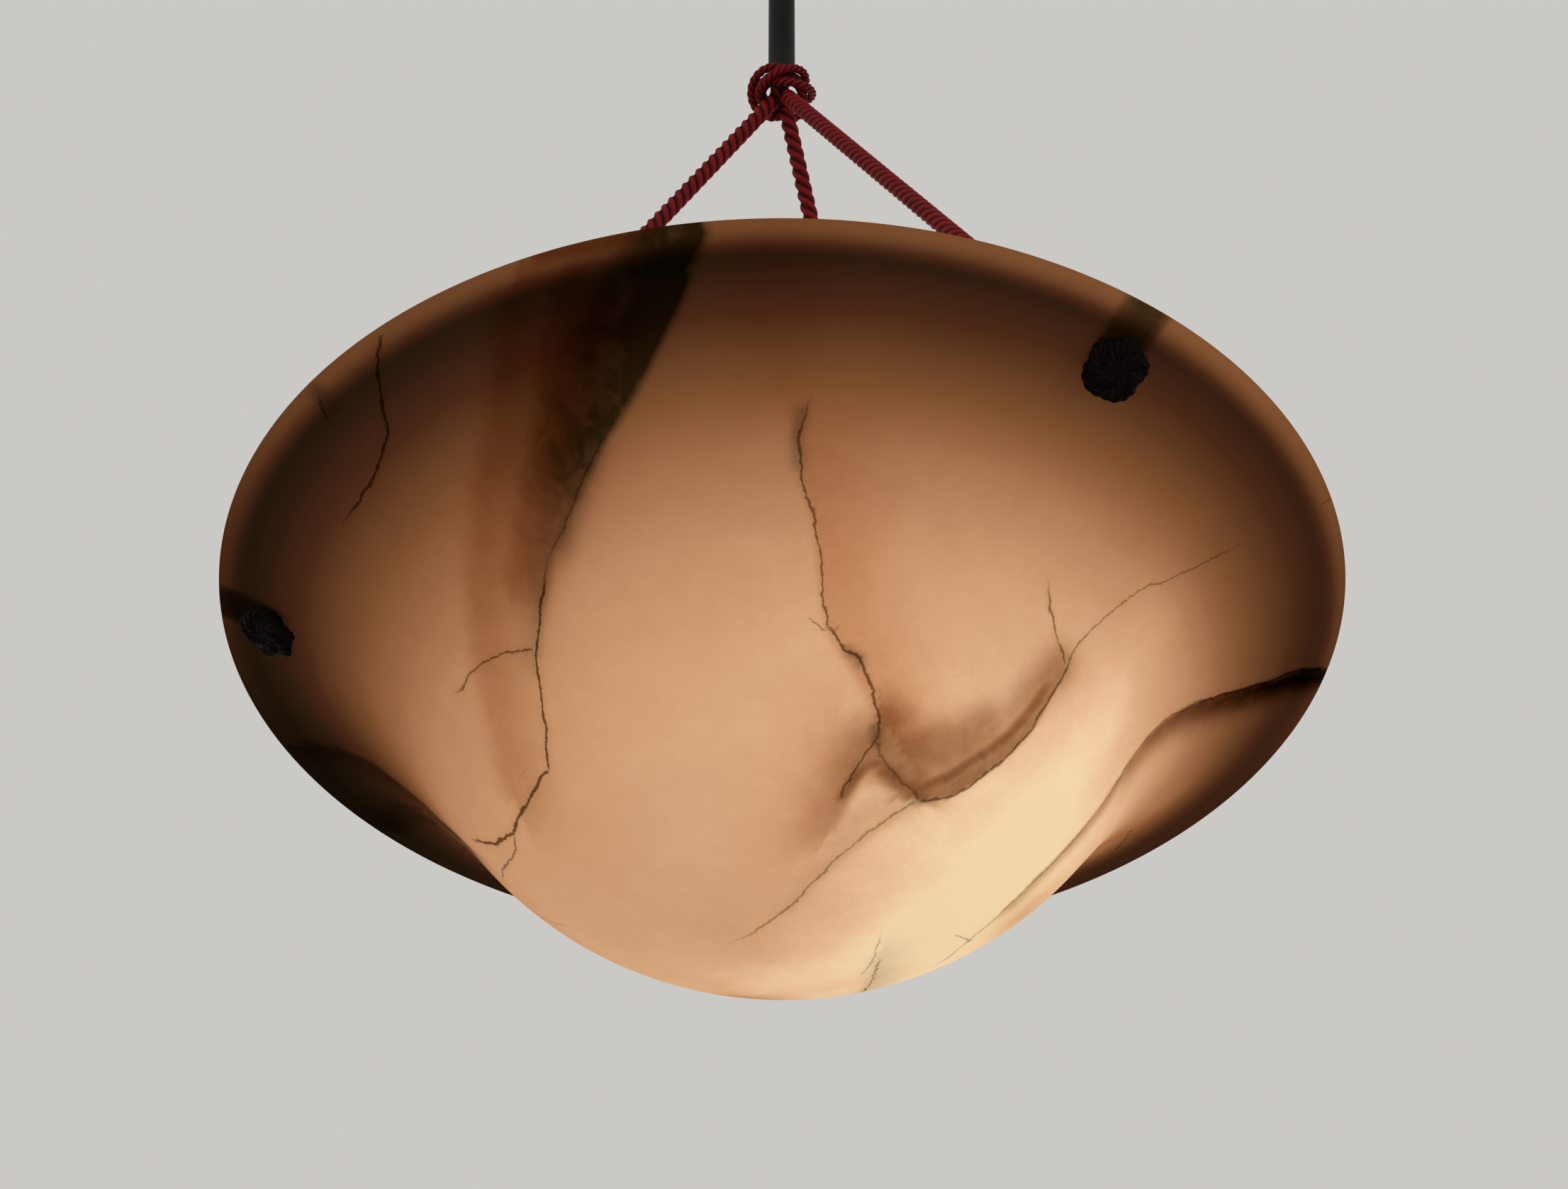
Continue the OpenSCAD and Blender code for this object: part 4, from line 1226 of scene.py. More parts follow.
@dataclass(frozen=True)
class Band:
    """A soft band of stain along a way over the stone, or of painted light where its kind is light.

    The way is a chain of points of the photograph's 2000 pixel view, or of bearing and radius
    on the side that the photograph doesn't show. The band fades over its reach to each side,
    as the way goes ahead, seen from outside. A higher power keeps its middle even.
    """

    stain: StainAndLight
    points: Points
    left: float
    right: float
    start: float
    end: float
    unseen: bool = False
    power: float = 2.0


@dataclass(frozen=True)
class Crack:
    """A thin dark crack along a way, told as a band's way is."""

    points: Points
    half_width: float = 0.42
    strength: float = 0.9
    channel: Channel = Channel.A
    open_start: float = 6.0
    open_end: float = 8.0
    unseen: bool = False


# Ways of the cracks, the stains and a band of painted light
CRACKS = (
    Crack(((700, 705), (690, 770), (684, 832), (690, 880), (698, 930), (700, 985)), 0.45, 1.0,
        Channel.A, 12, 1),
    Crack(((700, 980), (680, 1010), (665, 1040), (655, 1060), (635, 1075), (600, 1070)), 0.6,
        0.9, Channel.A, 1, 8),
    Crack(((785, 530), (760, 575), (745, 610), (729, 649), (712, 687), (700, 712)), 0.35, 0.55,
        Channel.B, 6, 1),
    Crack(((655, 1062), (660, 1085), (645, 1105), (640, 1120)), 0.35, 0.7, Channel.B, 1, 4),
    Crack(((683, 828), (650, 830), (620, 845), (600, 860), (592, 880), (575, 885)), 0.38, 0.75,
        Channel.B, 1, 8),
    Crack(((487, 422), (480, 470), (490, 520), (495, 550), (485, 590), (470, 620), (450, 650),
        (435, 675)), 0.5, 0.85, Channel.A, 3, 12),
    Crack(((405, 500), (412, 520), (425, 548)), 0.5, 0.6, Channel.B, 3, 5),
    Crack(((1035, 500), (1018, 560), (1022, 610), (1040, 660), (1047, 720), (1050, 770),
        (1058, 805)), 0.38, 0.75, Channel.A, 8, 1),
    Crack(((1058, 800), (1077, 826), (1095, 839), (1104, 860), (1113, 881), (1119, 912),
        (1119, 938)), 0.44, 0.8, Channel.A, 1, 1),
    Crack(((1119, 936), (1110, 951), (1092, 978), (1077, 1002), (1073, 1024)), 0.44, 0.75,
        Channel.A, 1, 3),
    Crack(((1028, 785), (1042, 797), (1056, 806)), 0.3, 0.6, Channel.B, 3, 1),
    Crack(((1072, 795), (1062, 806)), 0.3, 0.6, Channel.C, 2, 1),
    Crack(((1119, 942), (1122, 962), (1136, 984), (1158, 1002), (1173, 1021)), 0.5, 0.5,
        Channel.B, 1, 1),
    Crack(((1170, 1021), (1210, 1017), (1240, 999), (1289, 960), (1313, 933), (1344, 881),
        (1361, 847)), 0.5, 0.75, Channel.A, 1, 1),
    Crack(((1360, 850), (1375, 820), (1410, 785), (1450, 755), (1500, 735), (1550, 710),
        (1590, 690)), 0.3, 0.6, Channel.A, 1, 12),
    Crack(((1335, 735), (1340, 780), (1350, 820), (1360, 848)), 0.34, 0.7, Channel.B, 6, 1),
    Crack(((1172, 1018), (1130, 1045), (1090, 1075), (1060, 1100), (1030, 1130), (1010, 1155),
        (975, 1180), (925, 1205)), 0.45, 0.55, Channel.C, 1, 16),
    Crack(((1696, 853), (1688, 853), (1679, 853), (1657, 854), (1628, 866), (1594, 876),
        (1543, 892), (1518, 898)), 0.9, 0.95, Channel.A, 1, 8),
    Crack(((1530, 895), (1486, 917), (1461, 942), (1442, 967), (1420, 1005), (1392, 1043)),
        0.45, 0.5, Channel.B, 6, 6),
    Crack(((1400, 1032), (1360, 1081), (1323, 1118), (1285, 1156), (1240, 1195), (1190, 1233),
        (1140, 1255), (1085, 1268)), 0.5, 0.5, Channel.A, 6, 6),
    Crack(((1240, 1200), (1228, 1195), (1214, 1192)), 0.3, 0.55, Channel.B, 1, 3),
    Crack(((1125, 1188), (1115, 1220), (1098, 1245), (1085, 1268)), 0.28, 0.45, Channel.B, 6, 2),
    Crack(((1680, 645), (1698, 635)), 0.35, 0.7, Channel.B, 4, 1),
    Crack(((28, 34), (60, 60), (72, 88), (68, 112), (80, 138), (86, 160), (84, 173)), 0.5, 0.8,
        Channel.A, 8, 1, True),
    Crack(((72, 88), (92, 96), (110, 108), (118, 130), (132, 146)), 0.4, 0.65, Channel.B, 1, 10,
        True),
    Crack(((118, 130), (108, 148), (112, 170)), 0.34, 0.6, Channel.C, 1, 1, True),
    Crack(((150, 70), (142, 98), (150, 126), (144, 152)), 0.4, 0.65, Channel.A, 10, 12, True),
    Crack(((24, 96), (34, 118), (30, 142), (40, 158)), 0.4, 0.6, Channel.B, 8, 10, True),
)
BANDS = (
    # The big smoky vein: sharp on the right of the picture and soft on the left
    Band(StainAndLight.SMOKE, ((893, 296), (878, 339), (861, 381)), 2.2, 10.0, 1.2, 0.3, power=2.2),
    Band(StainAndLight.SMOKE, ((872, 353), (861, 381), (841, 423), (823, 462), (804, 499), (783, 532),
        (764, 564), (750, 601)), 2.2, 19.0, 1.25, 0.88, power=2.4),
    Band(StainAndLight.SMOKE, ((750, 601), (729, 649), (712, 687), (700, 712), (692, 760), (684, 830)),
        2.5, 6.5, 0.8, 0.3),
    Band(StainAndLight.SMOKE, ((850, 290), (826, 322), (777, 393), (758, 452), (754, 512), (742, 571),
        (722, 631), (706, 685)), 7.0, 8.5, 1.0, 0.55, power=2.6),
    Band(StainAndLight.UMBER, ((770, 400), (740, 470), (730, 540), (715, 600), (695, 660), (680, 720)),
        8.0, 9.0, 0.5, 0.25),
    Band(StainAndLight.RUST, ((715, 380), (704, 470), (690, 579), (672, 660), (656, 740)), 12.0, 8.0,
        0.9, 0.6),
    Band(StainAndLight.RUST, ((655, 392), (646, 512), (628, 601), (619, 661), (612, 741), (616, 832),
        (640, 941), (652, 1000)), 17.0, 6.0, 0.6, 0.35),
    Band(StainAndLight.SMOKE, ((405, 500), (420, 515)), 3.0, 3.0, 0.55, 0.3),
    Band(StainAndLight.SMOKE, ((1022, 525), (1014, 560), (1017, 590)), 2.2, 2.0, 0.45, 0.5),
    Band(StainAndLight.ROSE, ((1026, 600), (1046, 670), (1052, 730), (1060, 800), (1085, 842),
        (1108, 880), (1130, 920)), 18.0, 1.8, 0.5, 0.75),
    Band(StainAndLight.ROSE, ((1060, 950), (1040, 1020), (1020, 1080)), 9.0, 14.0, 0.4, 0.3),
    Band(StainAndLight.ROSE, ((980, 330), (985, 420), (1000, 470)), 14.0, 14.0, 0.35, 0.2),
    Band(StainAndLight.UMBER, ((1118, 948), (1094, 982), (1076, 1018), (1060, 1054)), 2.5, 9.0, 1.0, 0.45),
    Band(StainAndLight.UMBER, ((1121, 938), (1122, 966), (1132, 983), (1148, 997), (1158, 1004)), 11.0,
        2.6, 0.95, 1.1, power=3.0),
    Band(StainAndLight.UMBER, ((1076, 1014), (1090, 992), (1106, 977), (1124, 973), (1140, 985),
        (1156, 1002)), 3.2, 2.0, 1.3, 1.35),
    Band(StainAndLight.UMBER, ((1150, 1026), (1120, 1030), (1095, 1045), (1075, 1075)), 6.0, 6.0, 0.3, 0.2),
    Band(StainAndLight.UMBER, ((1172, 1018), (1210, 1014), (1240, 996), (1289, 957), (1313, 930),
        (1344, 879)), 8.5, 1.0, 1.15, 0.85, power=3.0),
    Band(StainAndLight.SMOKE, ((1080, 829), (1090, 835), (1097, 843)), 1.5, 1.5, 0.7, 0.8),
    Band(StainAndLight.SMOKE, ((1113, 930), (1118, 934), (1118, 943)), 1.4, 1.4, 0.7, 0.7),
    Band(StainAndLight.SMOKE, ((1164, 1014), (1172, 1020), (1178, 1019)), 1.5, 1.5, 0.6, 0.6),
    Band(StainAndLight.UMBER, ((1118, 958), (1150, 958), (1190, 962), (1225, 956), (1255, 938)), 10.0,
        9.0, 0.95, 0.7, power=3.0),
    Band(StainAndLight.UMBER, ((1250, 940), (1290, 908), (1325, 875), (1347, 852)), 6.5, 7.0, 0.4, 0.7),
    Band(StainAndLight.UMBER, ((1128, 982), (1152, 1000), (1174, 1004), (1214, 988), (1240, 970),
        (1262, 956), (1289, 936), (1316, 903), (1332, 878)), 2.6, 3.4, 1.5, 1.25),
    # Painted light: a soft band that brightens the glow.
    Band(StainAndLight.LIGHT, ((1470, 800), (1420, 900), (1350, 1010), (1250, 1140), (1150, 1190),
        (1000, 1245)), 15.0, 15.0, 0.05, 0.05),
    Band(StainAndLight.UMBER, ((1170, 1022), (1110, 1062), (1050, 1108), (1000, 1162)), 2.5, 5.0, 0.3, 0.1),
    Band(StainAndLight.SMOKE, ((1696, 855), (1688, 855), (1679, 855), (1657, 857), (1628, 869),
        (1594, 879), (1543, 895), (1518, 901), (1487, 919)), 9.0, 1.3, 1.3, 0.25),
    Band(StainAndLight.UMBER, ((1660, 862), (1594, 880), (1543, 895), (1518, 901), (1487, 919),
        (1462, 944), (1443, 969)), 9.0, 0.8, 1.2, 0.8),
    Band(StainAndLight.UMBER, ((1446, 965), (1420, 1005), (1392, 1043), (1360, 1081), (1323, 1118),
        (1285, 1156)), 5.0, 0.7, 0.65, 0.5),
    Band(StainAndLight.SMOKE, ((359, 954), (395, 952), (432, 957), (475, 975), (511, 1002), (541, 1026),
        (566, 1051), (590, 1072)), 2.5, 13.0, 0.6, 0.9),
    Band(StainAndLight.RUST, ((690, 326), (750, 312), (820, 297)), 3.0, 3.0, 0.9, 0.9),
    Band(StainAndLight.SMOKE, ((28, 34), (60, 60), (72, 88), (68, 112), (80, 138), (86, 160),
        (84, 173)), 9.0, 3.0, 0.2, 0.7, True),
    Band(StainAndLight.RUST, ((95, 60), (100, 90), (96, 120), (104, 150)), 12.0, 9.0, 0.5, 0.5, True),
    Band(StainAndLight.SMOKE, ((150, 110), (144, 140), (138, 165)), 6.0, 10.0, 0.3, 0.6, True),
    Band(StainAndLight.ROSE, ((20, 80), (40, 110), (30, 140)), 14.0, 12.0, 0.7, 0.5, True),
)


@dataclass(frozen=True)
class StoneBowl:
    """Turned bowl: a round belly, a short straight stretch and a flare with a thin edge.

    Glow levels go from 0 to 1, and radii in the glow's fields are shares of the rim's.
    """

    rim_radius: float = 175.0
    edge_radius: float = 173.7
    taper_length: float = 10.0
    taper_power: float = 0.75
    belly_radius: float = 124.0
    belly_depth: float = 111.02
    flare_radius: float = 145.0
    steepest: float = math.radians(52.585)
    rim_slope: float = math.radians(21.0)
    pole_slope: float = 0.004
    straight_end: float = 110.03
    belly_wall: float = 9.0
    rim_wall: float = 5.5
    columns: int = 480
    belly_rows: int = 56
    straight_rows: int = 9
    flare_rows: int = 58
    flare_closing: float = 1.5
    inner_belly_rows: int = 30
    inner_straight_rows: int = 4
    inner_flare_rows: int = 46
    inner_flare_closing: float = 1.8

    glow_by_radius: Points = (
        (0, 0.89), (0.1, 0.88), (0.2, 0.91), (0.3, 0.92), (0.4, 0.92), (0.5, 0.885), (0.6, 0.81),
        (0.7, 0.66), (0.8, 0.445), (0.85, 0.335), (0.9, 0.25), (0.94, 0.185), (0.965, 0.20),
        (1.0, 0.20),
    )
    uneven_by_radius: Points = (
        (0, 0.02), (0.3, 0.09), (0.5, 0.1), (0.7, 0.14), (0.8, 0.15), (0.94, 0.22), (1.0, 0.1),
    )
    bright_bearing: float = 15.0
    lip_glow: float = 0.20
    lip_glow_bright: float = 0.075
    lip_glow_near: float = 0.22
    lip_loss_far: float = 0.35
    near_edges: tuple[float, float] = (-0.2, 0.8)
    far_edges: tuple[float, float] = (0.0, 0.5)
    lip_begun: tuple[float, float] = (0.960, -0.024)
    lip_full: tuple[float, float] = (0.990, -0.006)
    patch_bearing: float = 35.0
    patch_radius: float = 0.81
    patch_width: float = 0.07
    patch_gain: float = 0.15
    shade_bearing: float = 152.0
    shade_edges: tuple[float, float] = (0.55, 0.8)
    shade_loss: float = 0.5
    bearing_spread: float = 20.0
    inner_glow: tuple[float, float] = (0.22, 0.8)
    inner_edges: tuple[float, float] = (0.5, 8.0)
    inner_blur: int = 2

    cord_shadow: float = 0.85
    shadow_sides: tuple[float, float] = (5.5, 9.5)
    shadow_start: tuple[float, float] = (150.0, 156.0)
    no_crack: tuple[float, float, float] = (20.0, 0.3, 0.0)
    crack_edges: tuple[float, float] = (4.0, 7.0)
    ray_steps: tuple[float, float, float] = (500.0, 1300.0, 0.5)
    rim_margin: float = 1.0
    height_margin: float = 3.0
    camera: PhotoCamera = field(default_factory=PhotoCamera)

    def outline(self, slope: Array, flare: bool) -> Array:
        """Outer radius and height above the rim plane where the belly or the flare has a slope.

        The belly is a circle's arc from the bottom, so its radius is the sine of the slope. The
        flare is an arc that turns the other way and ends at the rim plane.

        Args:
            slope: Slopes, in radians.
            flare: Whether they are the flare's.

        Returns:
            Radius and height of each.
        """
        if flare:
            r = self.straight_end + self.flare_radius * (math.sin(self.steepest) - np.sin(slope))
            return np.stack([r, self.flare_radius * (np.cos(slope) - math.cos(self.rim_slope))], -1)
        r = self.belly_radius * np.sin(slope)
        return np.stack([r, self.belly_radius * (1 - np.cos(slope)) - self.belly_depth], -1)

    def edge_slope(self) -> float:
        """Slope of the outer face where it ends in the rim's edge."""
        share = (self.edge_radius - self.straight_end) / self.flare_radius
        return math.asin(math.sin(self.steepest) - share)

    def inside(self, outer: Array, slope: Array, flare: bool) -> Array:
        """Inner outline: the outer one moved square to itself by the wall, thinner at the rim.

        Over the taper's length the wall closes to the edge, and its tip is barely rounded.

        Args:
            outer: Points of the outer outline.
            slope: Slopes there, in radians.
            flare: Whether they are the flare's.

        Returns:
            Radius and height of each inner point.
        """
        wall = np.full_like(slope, self.belly_wall)
        if flare:
            thick = (slope - self.rim_slope) / (self.steepest - self.rim_slope)
            wall = self.rim_wall + (self.belly_wall - self.rim_wall) * thick
            run = self.flare_radius * (slope - self.edge_slope()) / self.taper_length
            wall = wall * np.clip(run, 0, 1) ** self.taper_power
        return outer + wall[:, None] * np.stack([-np.sin(slope), np.cos(slope)], -1)

    def profile(self) -> tuple[Array, int]:
        """Closed profile from the outer pole round the rim to the inner pole.

        Returns:
            Radius and height above the rim plane, and the number of outer rows.
        """
        edge = self.edge_slope()
        belly = np.linspace(self.pole_slope, self.steepest, self.belly_rows)
        closing = 1 - (1 - np.linspace(0, 1, self.flare_rows)) ** self.flare_closing
        low = self.outline(belly, False)
        high = self.outline(self.steepest + (edge - self.steepest) * closing, True)
        share = np.linspace(0, 1, self.straight_rows + 2)[1:-1, None]
        straight = low[-1] + share * (high[0] - low[-1])
        opening = np.linspace(0, 1, self.inner_flare_rows + 1)[1:] ** self.inner_flare_closing
        flare_in = edge + (self.steepest - edge) * opening
        belly_in = np.linspace(self.steepest, self.pole_slope, self.inner_belly_rows)
        inner_high = self.inside(self.outline(flare_in, True), flare_in, True)
        inner_low = self.inside(self.outline(belly_in, False), belly_in, False)
        share = np.linspace(0, 1, self.inner_straight_rows + 2)[1:-1, None]
        inner_straight = inner_high[-1] + share * (inner_low[0] - inner_high[-1])
        rows = np.concatenate([low, straight, high, inner_high, inner_straight, inner_low])
        return rows, len(low) + len(straight) + len(high)

    def outer_height(self, radius: Array) -> Array:
        """Height of the outer face above the rim plane at a distance from the axis."""
        rows, outer = self.profile()
        return np.interp(radius, rows[:outer, 0], rows[:outer, 1])

    def seen_at(self, points: Points) -> Array:
        """Where the rays through points of the photograph first meet the bowl.

        Each ray is stepped along. The first step that is above the outer face and inside the rim
        is the hit, and a point whose ray misses is left out.

        Args:
            points: Points of the photograph's 2000 pixel view.

        Returns:
            The places that are met, in the part's frame.
        """
        rays, start = self.camera.rays(points), self.camera.place()
        way = start + rays[:, None] * np.arange(*self.ray_steps)[None, :, None]
        radius, height = np.hypot(way[..., 0], way[..., 1]), way[..., 2] - RIM_Z
        above = height > self.outer_height(radius)
        met = above & (radius < self.rim_radius - self.rim_margin) & (height < self.height_margin)
        return way[np.arange(len(way)), met.argmax(1)][met.any(1)]

    def way_over(self, points: Points, unseen: bool) -> Array:
        """Carries a way onto the outer face.

        Args:
            points: Points of the photograph, or bearings and radii.
            unseen: Whether they are bearings and radii.

        Returns:
            Points in the part's frame.
        """
        if not unseen:
            return self.seen_at(points)
        bearing, radius = np.array(points, float).T
        return polar(radius, np.radians(bearing), RIM_Z + self.outer_height(radius))

    @staticmethod
    def beside(places: Array, out: Array, way: Array) -> tuple[Array, Array, float]:
        """Signed distance of places from a way, and how far along it they lie.

        For each stretch of the way, the nearest point is the foot of the perpendicular, kept
        within the stretch. The sign is positive to the left of the way, seen from outside.

        Args:
            places: Points on the stone.
            out: Outward directions there.
            way: Points of the way.

        Returns:
            Signed distances, distances along from the start, and the way's length.
        """
        nearest = np.full(len(places), np.inf)
        signed, along = np.zeros(len(places)), np.zeros(len(places))
        reach = lengths_along(way)
        for first, second, begun in zip(way[:-1], way[1:], reach[:-1]):
            step = second - first
            length = np.linalg.norm(step)
            ahead = step / length
            run = np.clip((places - first) @ ahead, 0, length)
            off = places - first - run[:, None] * ahead
            distance = np.linalg.norm(off, axis=1)
            side = np.sign(np.einsum("ij,ij->i", np.cross(ahead, off), out))
            closer = distance < nearest
            nearest = np.where(closer, distance, nearest)
            signed = np.where(closer, np.where(side == 0, 1, side) * distance, signed)
            along = np.where(closer, begun + run, along)
        return signed, along, float(reach[-1])

    def towards(self, bearing: Array, middle: float) -> Array:
        """Share that is one at a bearing and falls away from it as a bell curve."""
        return np.exp(-((((bearing - middle + 180) % 360 - 180) / self.bearing_spread) ** 2))

    def glow_at(self, radius: Array, bearing: Array) -> Array:
        """How brightly the outer face glows.

        The level falls from the belly to the flare, and is higher towards the bright side by a
        share that grows outwards. It rises again in the thin lip, most on the near side, where
        the lip's glow also begins further in. One patch of the flare is brighter, and the flare
        on the far left is dimmer.

        Args:
            radius: Distance from the axis as a share of the rim's.
            bearing: Bearing in the photograph's own frame, in degrees.

        Returns:
            Level from 0 to 1.
        """
        bright = np.cos(np.radians(bearing - self.bright_bearing))
        far = np.sin(np.radians(bearing))
        near = smooth(-far, *self.near_edges)
        level = np.interp(radius, *zip(*self.glow_by_radius))
        level = level * (1 + np.interp(radius, *zip(*self.uneven_by_radius)) * bright)
        lip = self.lip_glow + self.lip_glow_bright * (bright + 1) + self.lip_glow_near * near
        lip = lip * (1 - self.lip_loss_far * smooth(far, *self.far_edges))
        begun, full = (start + change * near for start, change in (self.lip_begun, self.lip_full))
        level = level + (lip - level) * smooth(radius, begun, full)
        patch = self.towards(bearing, self.patch_bearing)
        patch = patch * np.exp(-(((radius - self.patch_radius) / self.patch_width) ** 2))
        level = level + self.patch_gain * patch
        shade = self.towards(bearing, self.shade_bearing) * smooth(radius, *self.shade_edges)
        return level * (1 - self.shade_loss * shade)

    def stains(self, places: Array, facing: Array) -> dict[str, Array]:
        """Painted stains and painted light, the strongest where several meet.

        Args:
            places: Points of the outer face.
            facing: Outward directions there.

        Returns:
            Strength of each kind of stain, and of the painted light, at each point.
        """
        values = {stain.value: np.zeros(len(places)) for stain in StainAndLight}
        for band in BANDS:
            way = self.way_over(band.points, band.unseen)
            off, along, length = self.beside(places, facing, way)
            reach = np.where(off > 0, band.left, band.right)
            strength = band.start + (band.end - band.start) * along / length
            fall = np.exp(-(np.abs(off / reach) ** band.power)) * strength
            values[band.stain.value] = np.maximum(values[band.stain.value], fall)
        return values

    def cracks(self, places: Array, facing: Array) -> dict[str, Array]:
        """Painted cracks.

        Args:
            places: Points of the outer face.
            facing: Outward directions there.

        Returns:
            Signed distance, half width and strength of the nearest crack of each channel.
        """
        cracks = {channel.value: np.tile(self.no_crack, (len(places), 1)) for channel in Channel}
        for crack in CRACKS:
            way = self.way_over(crack.points, crack.unseen)
            off, along, length = self.beside(places, facing, way)
            fade = np.clip(along / crack.open_start, 0, 1)
            fade = fade * np.clip((length - along) / crack.open_end, 0, 1)
            strength = crack.strength * fade * (1 - smooth(np.abs(off), *self.crack_edges))
            kept = cracks[crack.channel.value]
            closer = (np.abs(off) < np.abs(kept[:, 0])) & (strength > 0)
            new = np.stack([off, np.full_like(off, crack.half_width), strength], -1)
            cracks[crack.channel.value] = np.where(closer[:, None], new, kept)
        return cracks

    def cord_shadows(self, radius: Array, bearing: Array) -> Array:
        """Painted shadows that the cords cast on the lit flare, from the holes outwards.

        Args:
            radius: Distance from the axis.
            bearing: Bearing in the part's frame, in degrees.

        Returns:
            Strength from 0 to the shadow's full one.
        """
        turns = [np.radians(bearing - middle) for middle in BEARINGS.values()]
        return self.cord_shadow * np.max([
            (1 - smooth(np.abs(radius * np.sin(turn)), *self.shadow_sides))
            * smooth(radius * np.cos(turn), *self.shadow_start)
            for turn in turns
        ], axis=0)

    def paint(self, grid: Array, out: Array) -> dict[str, Array]:
        """Painted glow, stains, painted cord shadows and cracks of the outer rows.

        Args:
            grid: Points by row and column.
            out: Outward directions there.

        Returns:
            Painted values by name, as one row of values per grid row.
        """
        places, facing = grid.reshape(-1, 3), out.reshape(-1, 3)
        bearing = np.degrees(np.arctan2(places[:, 1], places[:, 0]))
        radius = np.hypot(places[:, 0], places[:, 1])
        values = self.stains(places, facing)
        # The cords' painted shadows go into the smoke layer, so they darken the glow with the
        # smoke's tint.
        values["smoke_and_cord_shadow"] = np.maximum(values["smoke_and_cord_shadow"], self.cord_shadows(radius, bearing))
        values["glow"] = self.glow_at(radius / self.rim_radius, bearing - self.camera.turn)
        values.update(self.cracks(places, facing))
        return {name: v.reshape(*grid.shape[:2], *v.shape[1:]) for name, v in values.items()}

    def build(self) -> None:
        """Makes the bowl, and paints it inside as outside but brighter and a little softer."""
        rows, outer = self.profile()
        grid = lathe(rows + [0, RIM_Z], self.columns)
        slope = np.gradient(rows, axis=0)
        out = unit(lathe(np.stack([slope[:, 1], -slope[:, 0]], -1), self.columns))
        painted = self.paint(grid[:outer], out[:outer])
        partner = np.abs(rows[outer:, :1] - rows[None, :outer, 0]).argmin(1)
        source = np.concatenate([np.arange(outer), partner])
        fields = {name: values[source] for name, values in painted.items()}
        deep = smooth(self.edge_radius - rows[outer:, :1], *self.inner_edges)
        glow = fields["glow"][outer:]
        lifted = np.clip(glow * self.inner_glow[1] + self.inner_glow[0], 0, 1)
        fields["glow"][outer:] = glow + deep * (lifted - glow)
        steps = range(-self.inner_blur, self.inner_blur + 1)
        for values in fields.values():
            values[outer:] = sum(np.roll(values[outer:], step, 1) for step in steps) / len(steps)
        hang("stone_bowl", "bowl", "bowl", "stone", STONE, Surface(grid, fields=fields))


# Cords and knots


@dataclass(frozen=True)
class TurksHead:
    """A round knot of one laid cord that joins itself.

    The cord goes round the axis while its section goes round an oval. At an angle t, the
    distance from the axis is the ring's plus the depth times cos(bights t / loops), and the
    height is the rise times sin(bights t / loops).
    """

    ring: float
    depth: float
    rise: float
    loops: int
    bights: int
    strand: float = 1.4
    pitch: float = 6.2
    rows_per_loop: int = 150
    columns: int = 24

    def line(self) -> Array:
        """Middle line of the knot's cord.

        Returns:
            Its points, in order.
        """
        t = self.loops * round_angles(self.loops * self.rows_per_loop)
        turn = self.bights * t / self.loops
        return polar(self.ring + self.depth * np.cos(turn), t, self.rise * np.sin(turn))

    def surface(self) -> Surface:
        """The laid cord along the knot's line, with a whole number of turns.

        Returns:
            The closed ring of cord.
        """
        line = self.line()
        reach = lengths_along(np.concatenate([line, line[:1]]))
        pitch = reach[-1] / round(reach[-1] / self.pitch)
        section = strands(reach[:-1], self.columns, self.strand, pitch)
        points = sweep(line, section, UPWARDS, True)
        return Surface(points, ring=True, along=reach[:-1], fields=crowned(section, self.strand))


